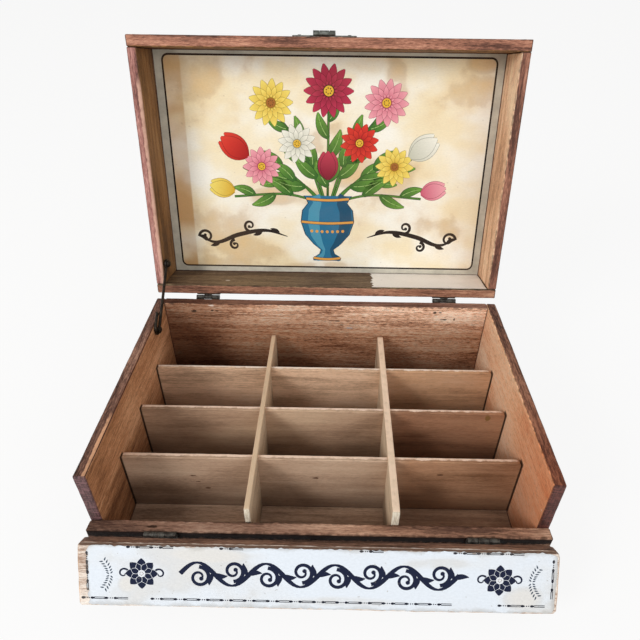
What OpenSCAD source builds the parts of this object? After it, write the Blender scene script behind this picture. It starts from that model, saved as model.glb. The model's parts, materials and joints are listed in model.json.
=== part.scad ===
// Counter-top wooden seed box: a compartmented tray with a hinged tray lid,
// a drop-front flap, a bent-wire lid stay and a hasp and staple.
// Origin at the centre of the underside, X to the right, Y to the back, Z up.
// It is drawn with the lid open on its stay and the flap let down.

/* [Body] */
// Outer width of the box
body_w = 280; // [230:1:400]
// Outer depth, from the face of the rail to the face of the back
body_d = 190; // [150:1:300]
// Height of the rim above the table
body_h = 88; // [76:1:140]
// Thickness of the side boards
side_t = 7.4; // [6.8:0.1:12]
// Thickness of the back board
back_t = 7.7; // [6.8:0.1:12]
// Thickness of the bottom board
bottom_t = 6; // [4:0.1:10]
// Thickness of the fixed front rail
rail_t = 8; // [7.6:0.1:12]
// Height of the fixed front rail
rail_h = 48; // [44:1:54]
// Easing along the edges of every board
edge_ease = 0.5; // [0.1:0.1:1]

/* [Flap] */
// Thickness of the flap board
flap_t = 7.4; // [6.6:0.1:7.5]
// Seam between the rail and the closed flap
flap_seam = 0.6; // [0.4:0.1:1.2]
// Rounding of the worn ends of the flap on its inner face
flap_end_r = 1.4; // [1:0.1:5]

/* [Lid] */
// How far the lid is open at rest, in degrees from closed
lid_open = 102; // [95:1:110]
// Height of the boards of the lid's frame
lid_frame_h = 36; // [30:1:60]
// Thickness of the front board of the lid
lid_front_t = 7.6; // [6.8:0.1:12]
// Thickness of the back board of the lid
lid_back_t = 7.7; // [6.8:0.1:12]
// Thickness of the side boards of the lid
lid_side_t = 6.8; // [6.2:0.1:12]
// Thickness of the top panel of the lid
lid_panel_t = 4.5; // [3:0.1:8]
// Seam between the rim and the closed lid
lid_seam = 0.6; // [0.4:0.1:1.2]

/* [Dividers] */
// Thickness of the left divider that runs front to back
left_divider_t = 3.4; // [2.8:0.1:6]
// Thickness of the right divider that runs front to back
right_divider_t = 4.6; // [2.8:0.1:6]
// Height of the dividers that run front to back
long_divider_h = 53.5; // [40:0.5:56]
// Thickness of the three cross dividers
cross_divider_t = 4; // [3:0.1:7]
// Height of the cross dividers
cross_divider_h = 51; // [40:0.5:52]
// Shift of both long dividers to the right
long_divider_shift = 1; // [-3:0.1:3]
// Gap between the end of a divider and the wall
divider_end_gap = 0.4; // [0.2:0.1:0.9]
// Gap on each side of a board in its halving slot
slot_gap = 0.15; // [0.1:0.05:0.4]

/* [Butt hinges] */
// Length of each hinge
hinge_len = 19; // [16:0.5:26]
// Height of each leaf below or above the pin
leaf_h = 10; // [9:0.5:13]
// Thickness of the leaves
leaf_t = 1.2; // [0.9:0.1:1.4]
// Radius of the knuckles
barrel_r = 1.7; // [1.5:0.1:1.8]
// Radius of the pins
pin_r = 0.8; // [0.6:0.1:1]
// Radial clearance of a pin in the leaf that turns on it
pin_clearance = 0.06; // [0.02:0.01:0.1]
// Radial clearance of a pin in the leaf that holds it
pin_seat_clearance = 0.02; // [0.01:0.01:0.05]
// Gap between neighbouring knuckles
knuckle_gap = 0.3; // [0.2:0.1:0.5]
// Distance of the lid's pins behind the back board
lid_pin_out = 2.6; // [2.5:0.1:2.8]
// Distance of the flap's pins in front of the rail
flap_pin_out = 1.9; // [1.9:0.1:2.5]
// Distance of the lid's hinges from the ends of the box
lid_hinge_in = 42; // [30:1:80]
// Distance of the flap's hinges from the ends of the box
flap_hinge_in = 44; // [30:1:80]
// Shift of both flap hinges to the right
flap_hinge_shift = 1.6; // [-4:0.1:4]

/* [Lid stay] */
// Radius of the wire
wire_r = 1.1; // [0.8:0.1:1.3]
// Radius of the bend at the hook, to the middle of the wire
hook_r = 4.6; // [4.4:0.1:5.5]
// Length of the short leg of the hook
hook_tail = 10.5; // [8:0.5:11]
// Distance of the rim screw from the hook's long leg
hook_offset = 3.5; // [3.3:0.1:3.8]
// How far the rim screw sits beyond the middle of the bend
hook_seat = 1.2; // [0.8:0.1:1.3]
// Distance of the rim screw from the back face of the box
stay_screw_in = 35.6; // [33:0.1:38]
// Depth of the rim screw below the rim
stay_screw_down = 5.9; // [4.5:0.1:8]
// Distance of the lid screw from the back face of the lid
stay_lid_in = 24.3; // [22:0.1:26]
// Height of the lid screw above the edge of the lid
stay_lid_up = 4.5; // [4:0.1:6]
// Radius of the shank of the stay's screws
stay_screw_r = 1.5; // [1:0.1:1.6]
// Radius of the head of the stay's screws
stay_head_r = 3; // [2.6:0.1:3.4]
// Height of the head of the stay's screws
stay_head_h = 1.5; // [1:0.1:2]
// Depth of the stay's screws in the wood
stay_screw_depth = 5.5; // [4:0.1:5.8]
// Gap between the wire and the side board
stay_wall_gap = 0.35; // [0.3:0.05:0.6]

/* [Hasp and staple] */
// Place of the hasp and staple across the box
hasp_x = -3; // [-20:0.5:20]
// Width of the plate on the lid
hasp_plate_w = 45; // [34:1:60]
// Height of the plate on the lid
hasp_plate_h = 15; // [12:0.5:22]
// Thickness of the plate on the lid
hasp_plate_t = 1; // [0.8:0.1:1.2]
// Distance of the hasp's pin in front of the lid
hasp_pin_out = 2.2; // [2.2:0.1:2.6]
// Height of the hasp's pin above the edge of the lid
hasp_up = 2.5; // [2.5:0.1:4]
// Width of the strap
strap_w = 15.3; // [13:0.1:20]
// Thickness of the strap
strap_t = 1.2; // [1:0.1:1.3]
// Length of the plate's two knuckles
hasp_knuckle = 4; // [3:0.1:5]
// Width of the slot in the strap
strap_slot_w = 5; // [4.4:0.1:6]
// Room in the slot beyond each end of the staple
strap_slot_room = 1.2; // [1:0.1:1.6]
// Metal left beyond the end of the slot
strap_end = 4.5; // [3:0.1:5]
// Height of the staple above the flap's pin, with the flap closed
staple_up = 18; // [17:0.5:20]
// How far the staple stands out from the flap
staple_stand = 13.4; // [12.5:0.1:14]
// Radius of the staple's bow, to the middle of its wire
staple_bow_r = 4.5; // [4:0.1:5]
// Radius of the staple's wire
staple_wire_r = 1.2; // [1:0.1:1.4]
// Gap between the staple and the rail when the flap hangs
staple_rest_gap = 0.3; // [0.2:0.1:0.6]
// Depth of the staple's legs in the flap
staple_depth = 5; // [3:0.1:6]
// Width of the plate under the staple
staple_plate_w = 27; // [25:0.5:34]
// Height of the plate under the staple
staple_plate_h = 16; // [15:0.5:20]
// Thickness of the plate under the staple
staple_plate_t = 0.8; // [0.5:0.1:0.9]

/* [Nails] */
// Radius of the shank of the nails in the boards
nail_r = 0.9; // [0.6:0.1:1.1]
// Radius of their heads
nail_head_r = 1.6; // [1.3:0.1:2.2]
// How far their heads stand proud
nail_head_h = 0.4; // [0.2:0.1:0.8]
// Length of the nails in the boards
nail_len = 17; // [12:0.5:24]
// Length of the nails in the lid's panel
panel_nail_len = 14; // [10:0.5:24]
// Radius of the shank of the nails in the hardware
tack_r = 0.75; // [0.5:0.05:0.9]
// Radius of the heads of the nails in the hardware
tack_head_r = 1.4; // [1.1:0.1:1.6]
// Height of the heads of the nails in the hardware
tack_head_h = 0.5; // [0.3:0.1:0.6]
// Length of the nails in the hardware
tack_len = 6; // [4:0.5:7]
// Radial clearance of a nail in its hole
nail_clearance = 0.03; // [0.01:0.01:0.08]

/* [Labels] */
// Thickness of the glued paper
paper_t = 0.3; // [0.2:0.05:0.3]
// Bare wood left beside the flap's label, at the left end
flap_label_left = 4.6; // [1:0.2:12]
// Bare wood left beside the flap's label, at the right end
flap_label_right = 1.4; // [1:0.2:12]
// Bare wood left above and below the flap's label
flap_label_edge = 0.6; // [0.5:0.1:5]
// Gap between the lid's label and the lid's frame
lid_label_gap = 0.4; // [0.2:0.1:3]
// Length of the paper strip on the lid's back board
strip_len = 96; // [40:1:120]
// Gap between the paper strip and the lid's side board
strip_gap = 0.6; // [0.4:0.1:6]
// Gap between the paper strip and the edges of the board
strip_edge = 0.6; // [0.4:0.1:4]

/* [Hidden] */
$fn = 48;
eps = 0.5;

left_in = -body_w / 2 + side_t;
right_in = body_w / 2 - side_t;
front_in = -body_d / 2 + rail_t;
back_in = body_d / 2 - back_t;
front_face = -body_d / 2;
back_face = body_d / 2;

flap_h = body_h - rail_h - flap_seam;
lid_z = body_h + lid_seam;

// Pins of the lid and of the flap, as [y, z]
lid_pin = [back_face + lid_pin_out, body_h];
flap_pin = [front_face - flap_pin_out, rail_h];

// The flap hangs out from the rail by the angle at which the staple's bow meets the rail
bow_out = staple_stand - staple_bow_r - staple_wire_r;
bow_arm = norm([bow_out - flap_pin_out, staple_up]);
bow_angle = atan2(staple_up, bow_out - flap_pin_out);
bow_reach = flap_pin_out - staple_rest_gap - staple_bow_r - staple_wire_r;
flap_hang = acos(bow_reach / bow_arm) - bow_angle;
flap_open = 180 - flap_hang;

knuckle_clear = barrel_r + knuckle_gap;
lid_hinge_x = body_w / 2 - lid_hinge_in;
flap_hinge_x = body_w / 2 - flap_hinge_in;
knuckle_len = (hinge_len - 2 * knuckle_gap) / 3;

column_w = (right_in - left_in - left_divider_t - right_divider_t) / 3;
row_depth = (back_in - front_in - 3 * cross_divider_t) / 4;
function cross_y(row) = front_in + row * row_depth + (row - 0.5) * cross_divider_t;
function long_t(side) = side < 0 ? left_divider_t : right_divider_t;
function long_x(side) = long_divider_shift + side * (column_w + long_t(side)) / 2;

// Stay: its two screws at rest, as [y, z], and the line of its long leg
stay_x = max(left_in, -body_w / 2 + lid_side_t) + stay_wall_gap + wire_r;
stay_screw = [back_face - stay_screw_in, body_h - stay_screw_down];
stay_arm = [-(lid_pin_out + stay_lid_in), lid_seam + stay_lid_up];
stay_pivot = lid_pin + [
    stay_arm.x * cos(lid_open) + stay_arm.y * sin(lid_open),
    -stay_arm.x * sin(lid_open) + stay_arm.y * cos(lid_open)
];
stay_span = norm(stay_screw - stay_pivot);
stay_line = stay_screw - stay_pivot;
stay_angle = atan2(stay_line.y, stay_line.x) + asin(hook_offset / stay_span);
stay_leg = sqrt(stay_span * stay_span - hook_offset * hook_offset) - hook_seat;
eye_r = stay_screw_r + pin_clearance + wire_r;

// Hasp, with the lid closed: its pin as [y, z], and the slot measured from the pin
hasp_pin = [front_face - hasp_pin_out, lid_z + hasp_up];
staple_below = hasp_pin.y - (rail_h + staple_up);
strap_slot_len = 2 * (staple_bow_r + staple_wire_r + strap_slot_room);
strap_len = staple_below + strap_slot_len / 2 + strap_end;

// Helpers

function eased(w, h, c) = [[c, 0], [w - c, 0], [w, c], [w, h - c],
    [w - c, h], [c, h], [0, h - c], [0, c]];

// A board with every edge eased by a small chamfer
module board(size) {
    intersection() {
        linear_extrude(size.z) polygon(eased(size.x, size.y, edge_ease));
        translate([0, size.y, 0]) rotate([90, 0, 0])
            linear_extrude(size.y) polygon(eased(size.x, size.z, edge_ease));
        rotate([90, 0, 90])
            linear_extrude(size.x) polygon(eased(size.y, size.z, edge_ease));
    }
}

// A flat plate with round corners, in X and Z, from y = 0 to y = t
module round_plate(w, h, t, r) {
    translate([0, t, 0]) rotate([90, 0, 0]) linear_extrude(t) {
        square([w - 2 * r, h], center = true);
        square([w, h - 2 * r], center = true);
        for (sx = [-1, 1], sz = [-1, 1])
            translate([sx * (w / 2 - r), sz * (h / 2 - r)]) circle(r);
    }
}

// A nail that points along +Y, its head's underside at y = 0
module nail(r, len, head_r, head_h) {
    rotate([-90, 0, 0]) cylinder(r = r, h = len);
    rotate([90, 0, 0]) cylinder(r1 = head_r, r2 = head_r * 0.8, h = head_h);
}

// The hole that a nail leaves, which starts a little outside the face
module nail_hole(r, len) {
    translate([0, -eps, 0]) rotate([-90, 0, 0])
        cylinder(r = r + nail_clearance, h = len + eps + nail_clearance);
}

// Turns from the closed position to the position at rest
module lid_at_rest() {
    translate([0, lid_pin.x, lid_pin.y]) rotate([-lid_open, 0, 0])
        translate([0, -lid_pin.x, -lid_pin.y]) children();
}

module flap_at_rest() {
    translate([0, flap_pin.x, flap_pin.y]) rotate([flap_open, 0, 0])
        translate([0, -flap_pin.x, -flap_pin.y]) children();
}

module hasp_folded() {
    translate([0, hasp_pin.x, hasp_pin.y]) rotate([-180, 0, 0])
        translate([0, -hasp_pin.x, -hasp_pin.y]) children();
}

// Places of the nails, with +Y along each nail

module at_body_nails() {
    for (s = [-1, 1]) {
        for (z = [body_h * 0.25, body_h * 0.55, body_h * 0.85])
            translate([s * body_w / 2, back_face - back_t / 2, z])
                rotate([0, 0, s * 90]) children();
        for (y = [front_in + 20, 0, back_in - 20])
            translate([s * body_w / 2, y, bottom_t / 2]) rotate([0, 0, s * 90]) children();
        for (z = [rail_h * 0.3, rail_h * 0.75])
            translate([s * (body_w - side_t) / 2, front_face, z]) children();
    }
    for (x = [-body_w / 4, 0, body_w / 4]) {
        translate([x, front_face, bottom_t / 2]) children();
        translate([x, back_face, bottom_t / 2]) rotate([0, 0, 180]) children();
    }
}

module at_lid_corner_nails() {
    for (s = [-1, 1], z = [lid_frame_h * 0.25, lid_frame_h * 0.75]) {
        translate([s * (body_w - lid_side_t) / 2, front_face, lid_z + z]) children();
        translate([s * (body_w - lid_side_t) / 2, back_face, lid_z + z])
            rotate([0, 0, 180]) children();
    }
}

module at_panel_nails() {
    top = lid_z + lid_frame_h + lid_panel_t;
    for (x = [-1, -1 / 3, 1 / 3, 1] * (body_w / 2 - 32)) {
        translate([x, front_face + lid_front_t / 2, top]) rotate([-90, 0, 0]) children();
        translate([x, back_face - lid_back_t / 2, top]) rotate([-90, 0, 0]) children();
    }
    for (s = [-1, 1], y = [-body_d / 6, body_d / 6])
        translate([s * (body_w - lid_side_t) / 2, y, top]) rotate([-90, 0, 0]) children();
}

// Places of the hinges, in a frame with the wood on the +Y side of the pin

module at_flap_hinge(side) {
    translate([flap_hinge_shift + side * flap_hinge_x, flap_pin.x, flap_pin.y]) children();
}

module at_lid_hinge(side) {
    translate([side * lid_hinge_x, lid_pin.x, lid_pin.y]) rotate([0, 0, 180]) children();
}

// The two nails of a leaf: up is 1 for a leaf above the pin and -1 for one below
module at_leaf_nails(out, up) {
    for (s = [-1, 1])
        translate([s * hinge_len * 0.28, out - leaf_t, up * (leaf_h + knuckle_clear) / 2])
            children();
}

module leaf_nails(out, up) {
    at_leaf_nails(out, up) nail(tack_r, tack_len, tack_head_r, tack_head_h);
}

module leaf_nail_holes(out, up) {
    at_leaf_nails(out, up) nail_hole(tack_r, tack_len);
}

// One knuckle with the tongue that joins it to its leaf
module knuckle(len, r, out, t, up) {
    translate([-len / 2, 0, 0]) rotate([0, 90, 0]) cylinder(r = r, h = len);
    translate([-len / 2, out - t, up > 0 ? 0 : -knuckle_clear]) cube([len, t, knuckle_clear]);
}

// A leaf of a butt hinge: the fixed one has the two outer knuckles
module hinge_leaf(out, up) {
    bore = pin_r + (up > 0 ? pin_clearance : pin_seat_clearance);
    difference() {
        union() {
            translate([-hinge_len / 2, out - leaf_t, up > 0 ? knuckle_clear : -leaf_h])
                cube([hinge_len, leaf_t, leaf_h - knuckle_clear]);
            if (up > 0)
                knuckle(knuckle_len, barrel_r, out, leaf_t, up);
            else
                for (s = [-1, 1])
                    translate([s * (hinge_len - knuckle_len) / 2, 0, 0])
                        knuckle(knuckle_len, barrel_r, out, leaf_t, up);
        }
        translate([-hinge_len / 2 - eps, 0, 0]) rotate([0, 90, 0])
            cylinder(r = bore, h = hinge_len + 2 * eps);
        leaf_nail_holes(out, up);
    }
}

module hinge_pin_bar(len) {
    translate([-len / 2, 0, 0]) rotate([0, 90, 0]) cylinder(r = pin_r, h = len);
}

// A round-headed screw that points along -X, its head's underside at x = 0
module stay_screw_solid(reach) {
    rotate([0, 90, 0]) {
        cylinder(r = stay_head_r, h = stay_head_h * 0.4);
        translate([0, 0, stay_head_h * 0.4])
            cylinder(r1 = stay_head_r, r2 = stay_head_r * 0.6, h = stay_head_h * 0.6);
    }
    rotate([0, -90, 0]) cylinder(r = stay_screw_r, h = reach);
}

module stay_screw_hole(wall_x) {
    translate([wall_x - stay_screw_depth - nail_clearance, 0, 0]) rotate([0, 90, 0])
        cylinder(r = stay_screw_r + nail_clearance, h = stay_screw_depth + eps);
}

head_x = stay_x + wire_r + stay_wall_gap;

module at_rim_screw() {
    translate([0, stay_screw.x, stay_screw.y]) children();
}

// The lid screw's place with the lid closed
module at_lid_screw() {
    translate([0, back_face - stay_lid_in, lid_z + stay_lid_up]) children();
}

// Body

module side_board(s) {
    difference() {
        translate([s < 0 ? -body_w / 2 : right_in, front_in, 0])
            board([side_t, back_face - front_in, body_h]);
        at_body_nails() nail_hole(nail_r, nail_len);
        if (s < 0) at_rim_screw() stay_screw_hole(left_in);
    }
}

module left_side() {
    color("#7a4f35") side_board(-1);
}

module right_side() {
    color("#7a4f35") side_board(1);
}

module back_board() {
    color("#84593f") difference() {
        translate([left_in, back_in, 0]) board([right_in - left_in, back_t, body_h]);
        at_body_nails() nail_hole(nail_r, nail_len);
        for (s = [-1, 1]) at_lid_hinge(s) leaf_nail_holes(lid_pin_out, -1);
    }
}

module bottom_board() {
    color("#5d4a38") difference() {
        translate([left_in, front_in, 0])
            board([right_in - left_in, back_in - front_in, bottom_t]);
        at_body_nails() nail_hole(nail_r, nail_len);
    }
}

module front_rail() {
    color("#6f4b3b") difference() {
        translate([-body_w / 2, front_face, 0]) board([body_w, rail_t, rail_h]);
        at_body_nails() nail_hole(nail_r, nail_len);
        for (s = [-1, 1]) at_flap_hinge(s) leaf_nail_holes(flap_pin_out, -1);
    }
}

module body_nails() {
    color("#4b4644") at_body_nails() nail(nail_r, nail_len, nail_head_r, nail_head_h);
}

// Dividers: the cross dividers are slotted from above, the long ones from below

slot_bottom = bottom_t + cross_divider_h / 2;

module long_divider(side) {
    start = front_in + divider_end_gap;
    len = back_in - front_in - 2 * divider_end_gap;
    color("#c9b08c") difference() {
        translate([long_x(side) - long_t(side) / 2, start, bottom_t])
            board([long_t(side), len, long_divider_h]);
        for (row = [1, 2, 3])
            translate([-body_w / 2, cross_y(row) - cross_divider_t / 2 - slot_gap, bottom_t - eps])
                cube([body_w, cross_divider_t + 2 * slot_gap,
                    slot_bottom + slot_gap - bottom_t + eps]);
    }
}

module long_divider_left() {
    long_divider(-1);
}

module long_divider_right() {
    long_divider(1);
}

module cross_divider(row) {
    start = left_in + divider_end_gap;
    len = right_in - left_in - 2 * divider_end_gap;
    color("#bfa382") difference() {
        translate([start, cross_y(row) - cross_divider_t / 2, bottom_t])
            board([len, cross_divider_t, cross_divider_h]);
        for (side = [-1, 1])
            translate([long_x(side) - long_t(side) / 2 - slot_gap, -body_d / 2, slot_bottom])
                cube([long_t(side) + 2 * slot_gap, body_d, cross_divider_h]);
    }
}

module cross_divider_front() {
    cross_divider(1);
}

module cross_divider_middle() {
    cross_divider(2);
}

module cross_divider_rear() {
    cross_divider(3);
}

// Hinges: the leaves on the body hold the pins

module rail_hinge_leaf_left() {
    color("#50504e") at_flap_hinge(-1) hinge_leaf(flap_pin_out, -1);
}

module rail_hinge_leaf_right() {
    color("#50504e") at_flap_hinge(1) hinge_leaf(flap_pin_out, -1);
}

module back_hinge_leaf_left() {
    color("#50504e") at_lid_hinge(-1) hinge_leaf(lid_pin_out, -1);
}

module back_hinge_leaf_right() {
    color("#50504e") at_lid_hinge(1) hinge_leaf(lid_pin_out, -1);
}

module hinge_pins() {
    color("#6a6a68") for (s = [-1, 1]) {
        at_flap_hinge(s) hinge_pin_bar(hinge_len);
        at_lid_hinge(s) hinge_pin_bar(hinge_len);
    }
}

module body_hinge_nails() {
    color("#4b4644") for (s = [-1, 1]) {
        at_flap_hinge(s) leaf_nails(flap_pin_out, -1);
        at_lid_hinge(s) leaf_nails(lid_pin_out, -1);
    }
}

module stay_rim_screw() {
    color("#3a352c") at_rim_screw() translate([head_x, 0, 0])
        stay_screw_solid(head_x - left_in + stay_screw_depth);
}

// Flap, drawn closed and turned to hang

module flap_outline() {
    r = flap_end_r;
    half = body_w / 2;
    translate([-half, 0]) square([body_w, flap_t - r]);
    translate([r - half, 0]) square([body_w - 2 * r, flap_t]);
    for (s = [-1, 1]) translate([s * (half - r), flap_t - r]) circle(r);
}

module flap_board() {
    low = rail_h + flap_seam;
    color("#8a6244") flap_at_rest() difference() {
        intersection() {
            translate([0, front_face, low]) linear_extrude(flap_h) flap_outline();
            translate([-body_w / 2, front_face, low]) board([body_w, flap_t, flap_h]);
        }
        for (s = [-1, 1]) at_flap_hinge(s) leaf_nail_holes(flap_pin_out, 1);
        at_staple_legs() staple_leg(staple_wire_r + nail_clearance, nail_clearance);
        at_staple_nails() nail_hole(tack_r, tack_len);
    }
}

module flap_label() {
    color("#e6e9ec") flap_at_rest()
        translate([flap_label_left - body_w / 2, front_face + flap_t,
            rail_h + flap_seam + flap_label_edge])
            cube([body_w - flap_label_left - flap_label_right, paper_t,
                flap_h - 2 * flap_label_edge]);
}

module flap_hinge_leaf_left() {
    color("#50504e") flap_at_rest() at_flap_hinge(-1) hinge_leaf(flap_pin_out, 1);
}

module flap_hinge_leaf_right() {
    color("#50504e") flap_at_rest() at_flap_hinge(1) hinge_leaf(flap_pin_out, 1);
}

module flap_hinge_nails() {
    color("#4b4644") flap_at_rest() for (s = [-1, 1])
        at_flap_hinge(s) leaf_nails(flap_pin_out, 1);
}

// Staple, with the flap closed: its plate's middle lies on the flap's outer face

module at_staple() {
    translate([hasp_x, front_face, rail_h + staple_up]) children();
}

module at_staple_legs() {
    at_staple() for (s = [-1, 1]) translate([0, -bow_out, s * staple_bow_r]) children();
}

module staple_leg(r, extra) {
    rotate([-90, 0, 0]) cylinder(r = r, h = bow_out + staple_depth + extra);
}

module at_staple_nails() {
    at_staple() for (s = [-1, 1])
        translate([s * (staple_plate_w / 2 - 3), -staple_plate_t, 0]) children();
}

module staple() {
    color("#7d8078") flap_at_rest() {
        at_staple_legs() staple_leg(staple_wire_r, 0);
        at_staple() translate([0, -bow_out, 0]) rotate([180, -90, 0])
            rotate_extrude(angle = 180) translate([staple_bow_r, 0]) circle(staple_wire_r, $fn = 24);
    }
}

module staple_plate() {
    color("#7d8078") flap_at_rest() difference() {
        at_staple() translate([0, -staple_plate_t, 0])
            round_plate(staple_plate_w, staple_plate_h, staple_plate_t, 4);
        at_staple_legs() staple_leg(staple_wire_r + nail_clearance, nail_clearance);
        at_staple_nails() nail_hole(tack_r, tack_len);
    }
}

module staple_plate_nails() {
    color("#4b4644") flap_at_rest()
        at_staple_nails() nail(tack_r, tack_len, tack_head_r, tack_head_h);
}

// Lid, drawn closed and turned to stand open

module lid_front() {
    color("#9a6a58") lid_at_rest() difference() {
        translate([-body_w / 2, front_face, lid_z]) board([body_w, lid_front_t, lid_frame_h]);
        at_lid_corner_nails() nail_hole(nail_r, nail_len);
        at_panel_nails() nail_hole(nail_r, panel_nail_len);
        at_hasp_nails() nail_hole(tack_r, tack_len);
    }
}

module lid_back() {
    color("#8a5542") lid_at_rest() difference() {
        translate([-body_w / 2, back_face - lid_back_t, lid_z])
            board([body_w, lid_back_t, lid_frame_h]);
        at_lid_corner_nails() nail_hole(nail_r, nail_len);
        at_panel_nails() nail_hole(nail_r, panel_nail_len);
        for (s = [-1, 1]) at_lid_hinge(s) leaf_nail_holes(lid_pin_out, 1);
    }
}

module lid_side(s) {
    len = body_d - lid_front_t - lid_back_t;
    color("#8f6149") lid_at_rest() difference() {
        translate([s < 0 ? -body_w / 2 : body_w / 2 - lid_side_t, front_face + lid_front_t, lid_z])
            board([lid_side_t, len, lid_frame_h]);
        at_lid_corner_nails() nail_hole(nail_r, nail_len);
        at_panel_nails() nail_hole(nail_r, panel_nail_len);
        if (s < 0) at_lid_screw() stay_screw_hole(lid_side_t - body_w / 2);
    }
}

module lid_left() {
    lid_side(-1);
}

module lid_right() {
    lid_side(1);
}

module lid_panel() {
    color("#6e4d3a") lid_at_rest() difference() {
        translate([-body_w / 2, front_face, lid_z + lid_frame_h])
            board([body_w, body_d, lid_panel_t]);
        at_panel_nails() nail_hole(nail_r, panel_nail_len);
    }
}

module lid_label() {
    side = lid_side_t + lid_label_gap;
    front = lid_front_t + lid_label_gap;
    back = lid_back_t + lid_label_gap;
    color("#d9ceb0") lid_at_rest()
        translate([side - body_w / 2, front_face + front, lid_z + lid_frame_h - paper_t])
            cube([body_w - 2 * side, body_d - front - back, paper_t]);
}

module lid_paper_strip() {
    color("#d8d0c4") lid_at_rest()
        translate([body_w / 2 - lid_side_t - strip_gap - strip_len,
            back_face - lid_back_t - paper_t, lid_z + strip_edge])
            cube([strip_len, paper_t, lid_frame_h - 2 * strip_edge - paper_t]);
}

module lid_nails() {
    color("#4b4644") lid_at_rest() {
        at_lid_corner_nails() nail(nail_r, nail_len, nail_head_r, nail_head_h);
        at_panel_nails() nail(nail_r, panel_nail_len, nail_head_r, nail_head_h);
    }
}

module lid_hinge_leaf_left() {
    color("#50504e") lid_at_rest() at_lid_hinge(-1) hinge_leaf(lid_pin_out, 1);
}

module lid_hinge_leaf_right() {
    color("#50504e") lid_at_rest() at_lid_hinge(1) hinge_leaf(lid_pin_out, 1);
}

module lid_hinge_nails() {
    color("#4b4644") lid_at_rest() for (s = [-1, 1])
        at_lid_hinge(s) leaf_nails(lid_pin_out, 1);
}

// Hasp

module at_hasp_pin() {
    translate([hasp_x, hasp_pin.x, hasp_pin.y]) children();
}

module at_hasp_nails() {
    at_hasp_pin() for (sx = [-1, 1], sz = [-1, 1])
        translate([sx * (hasp_plate_w / 2 - 5), hasp_pin_out - hasp_plate_t,
            knuckle_clear + hasp_plate_h / 2 + sz * hasp_plate_h * 0.25]) children();
}

module hasp_plate() {
    color("#7d8078") lid_at_rest() difference() {
        union() {
            at_hasp_pin() translate([0, hasp_pin_out - hasp_plate_t, knuckle_clear + hasp_plate_h / 2])
                round_plate(hasp_plate_w, hasp_plate_h, hasp_plate_t, 3);
            at_hasp_pin() for (s = [-1, 1])
                translate([s * (strap_w - hasp_knuckle) / 2, 0, 0])
                    knuckle(hasp_knuckle, barrel_r, hasp_pin_out, hasp_plate_t, 1);
        }
        at_hasp_pin() translate([-strap_w, 0, 0]) rotate([0, 90, 0])
            cylinder(r = pin_r + pin_seat_clearance, h = 2 * strap_w);
        at_hasp_nails() nail_hole(tack_r, tack_len);
    }
}

module hasp_plate_nails() {
    color("#4b4644") lid_at_rest()
        at_hasp_nails() nail(tack_r, tack_len, tack_head_r, tack_head_h);
}

module hasp_pin() {
    color("#6a6a68") lid_at_rest() at_hasp_pin() hinge_pin_bar(strap_w);
}

module strap_outline() {
    r = strap_w / 2;
    translate([-r, -strap_len + r]) square([strap_w, strap_len - r - knuckle_clear]);
    translate([0, -strap_len + r]) circle(r);
}

module hasp_strap() {
    middle = strap_w - 2 * hasp_knuckle - 2 * knuckle_gap;
    slot_half = (strap_slot_len - strap_slot_w) / 2;
    color("#7d8078") lid_at_rest() hasp_folded() at_hasp_pin() difference() {
        union() {
            translate([0, strap_t, 0]) rotate([90, 0, 0]) linear_extrude(strap_t) strap_outline();
            knuckle(middle, barrel_r, strap_t, strap_t, -1);
        }
        translate([-strap_w, 0, 0]) rotate([0, 90, 0])
            cylinder(r = pin_r + pin_clearance, h = 2 * strap_w);
        translate([0, strap_t + eps, -staple_below]) rotate([90, 0, 0])
            linear_extrude(strap_t + 2 * eps) {
                square([strap_slot_w, 2 * slot_half], center = true);
                for (s = [-1, 1]) translate([0, s * slot_half]) circle(strap_slot_w / 2);
            }
    }
}

// Lid stay: a wire with an eye on the lid's screw and a hook over the rim screw

module stay_lid_screw() {
    color("#3a352c") lid_at_rest() at_lid_screw() translate([head_x, 0, 0])
        stay_screw_solid(head_x - (lid_side_t - body_w / 2) + stay_screw_depth);
}

module stay_wire() {
    color("#2f2a20") translate([stay_x, stay_pivot.x, stay_pivot.y]) rotate([stay_angle, 0, 0]) {
        rotate([0, 90, 0]) rotate_extrude() translate([eye_r, 0]) circle(wire_r, $fn = 24);
        translate([0, eye_r, 0]) rotate([-90, 0, 0])
            cylinder(r = wire_r, h = stay_leg - eye_r, $fn = 24);
        translate([0, stay_leg, -hook_r]) rotate([0, -90, 0])
            rotate_extrude(angle = 180) translate([hook_r, 0]) circle(wire_r, $fn = 24);
        translate([0, stay_leg, -2 * hook_r]) rotate([90, 0, 0])
            cylinder(r = wire_r, h = hook_tail, $fn = 24);
        translate([0, stay_leg - hook_tail, -2 * hook_r]) sphere(r = wire_r, $fn = 24);
    }
}

left_side();
right_side();
back_board();
bottom_board();
front_rail();
body_nails();
long_divider_left();
long_divider_right();
cross_divider_rear();
cross_divider_middle();
cross_divider_front();
rail_hinge_leaf_left();
rail_hinge_leaf_right();
back_hinge_leaf_left();
back_hinge_leaf_right();
hinge_pins();
body_hinge_nails();
stay_rim_screw();
flap_board();
flap_label();
flap_hinge_leaf_left();
flap_hinge_leaf_right();
flap_hinge_nails();
staple();
staple_plate();
staple_plate_nails();
lid_front();
lid_back();
lid_left();
lid_right();
lid_panel();
lid_label();
lid_paper_strip();
lid_nails();
lid_hinge_leaf_left();
lid_hinge_leaf_right();
lid_hinge_nails();
hasp_plate();
hasp_plate_nails();
hasp_pin();
stay_lid_screw();
stay_wire();
hasp_strap();
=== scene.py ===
# Looks for the wooden seed box: worn stained oak boards, pale dividers, printed papers and old hardware.
# Sizes are in millimetres and become metres as each mesh is made.

import json
import math

import bpy
import numpy as np
from mathutils import Matrix, Vector, noise


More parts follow.
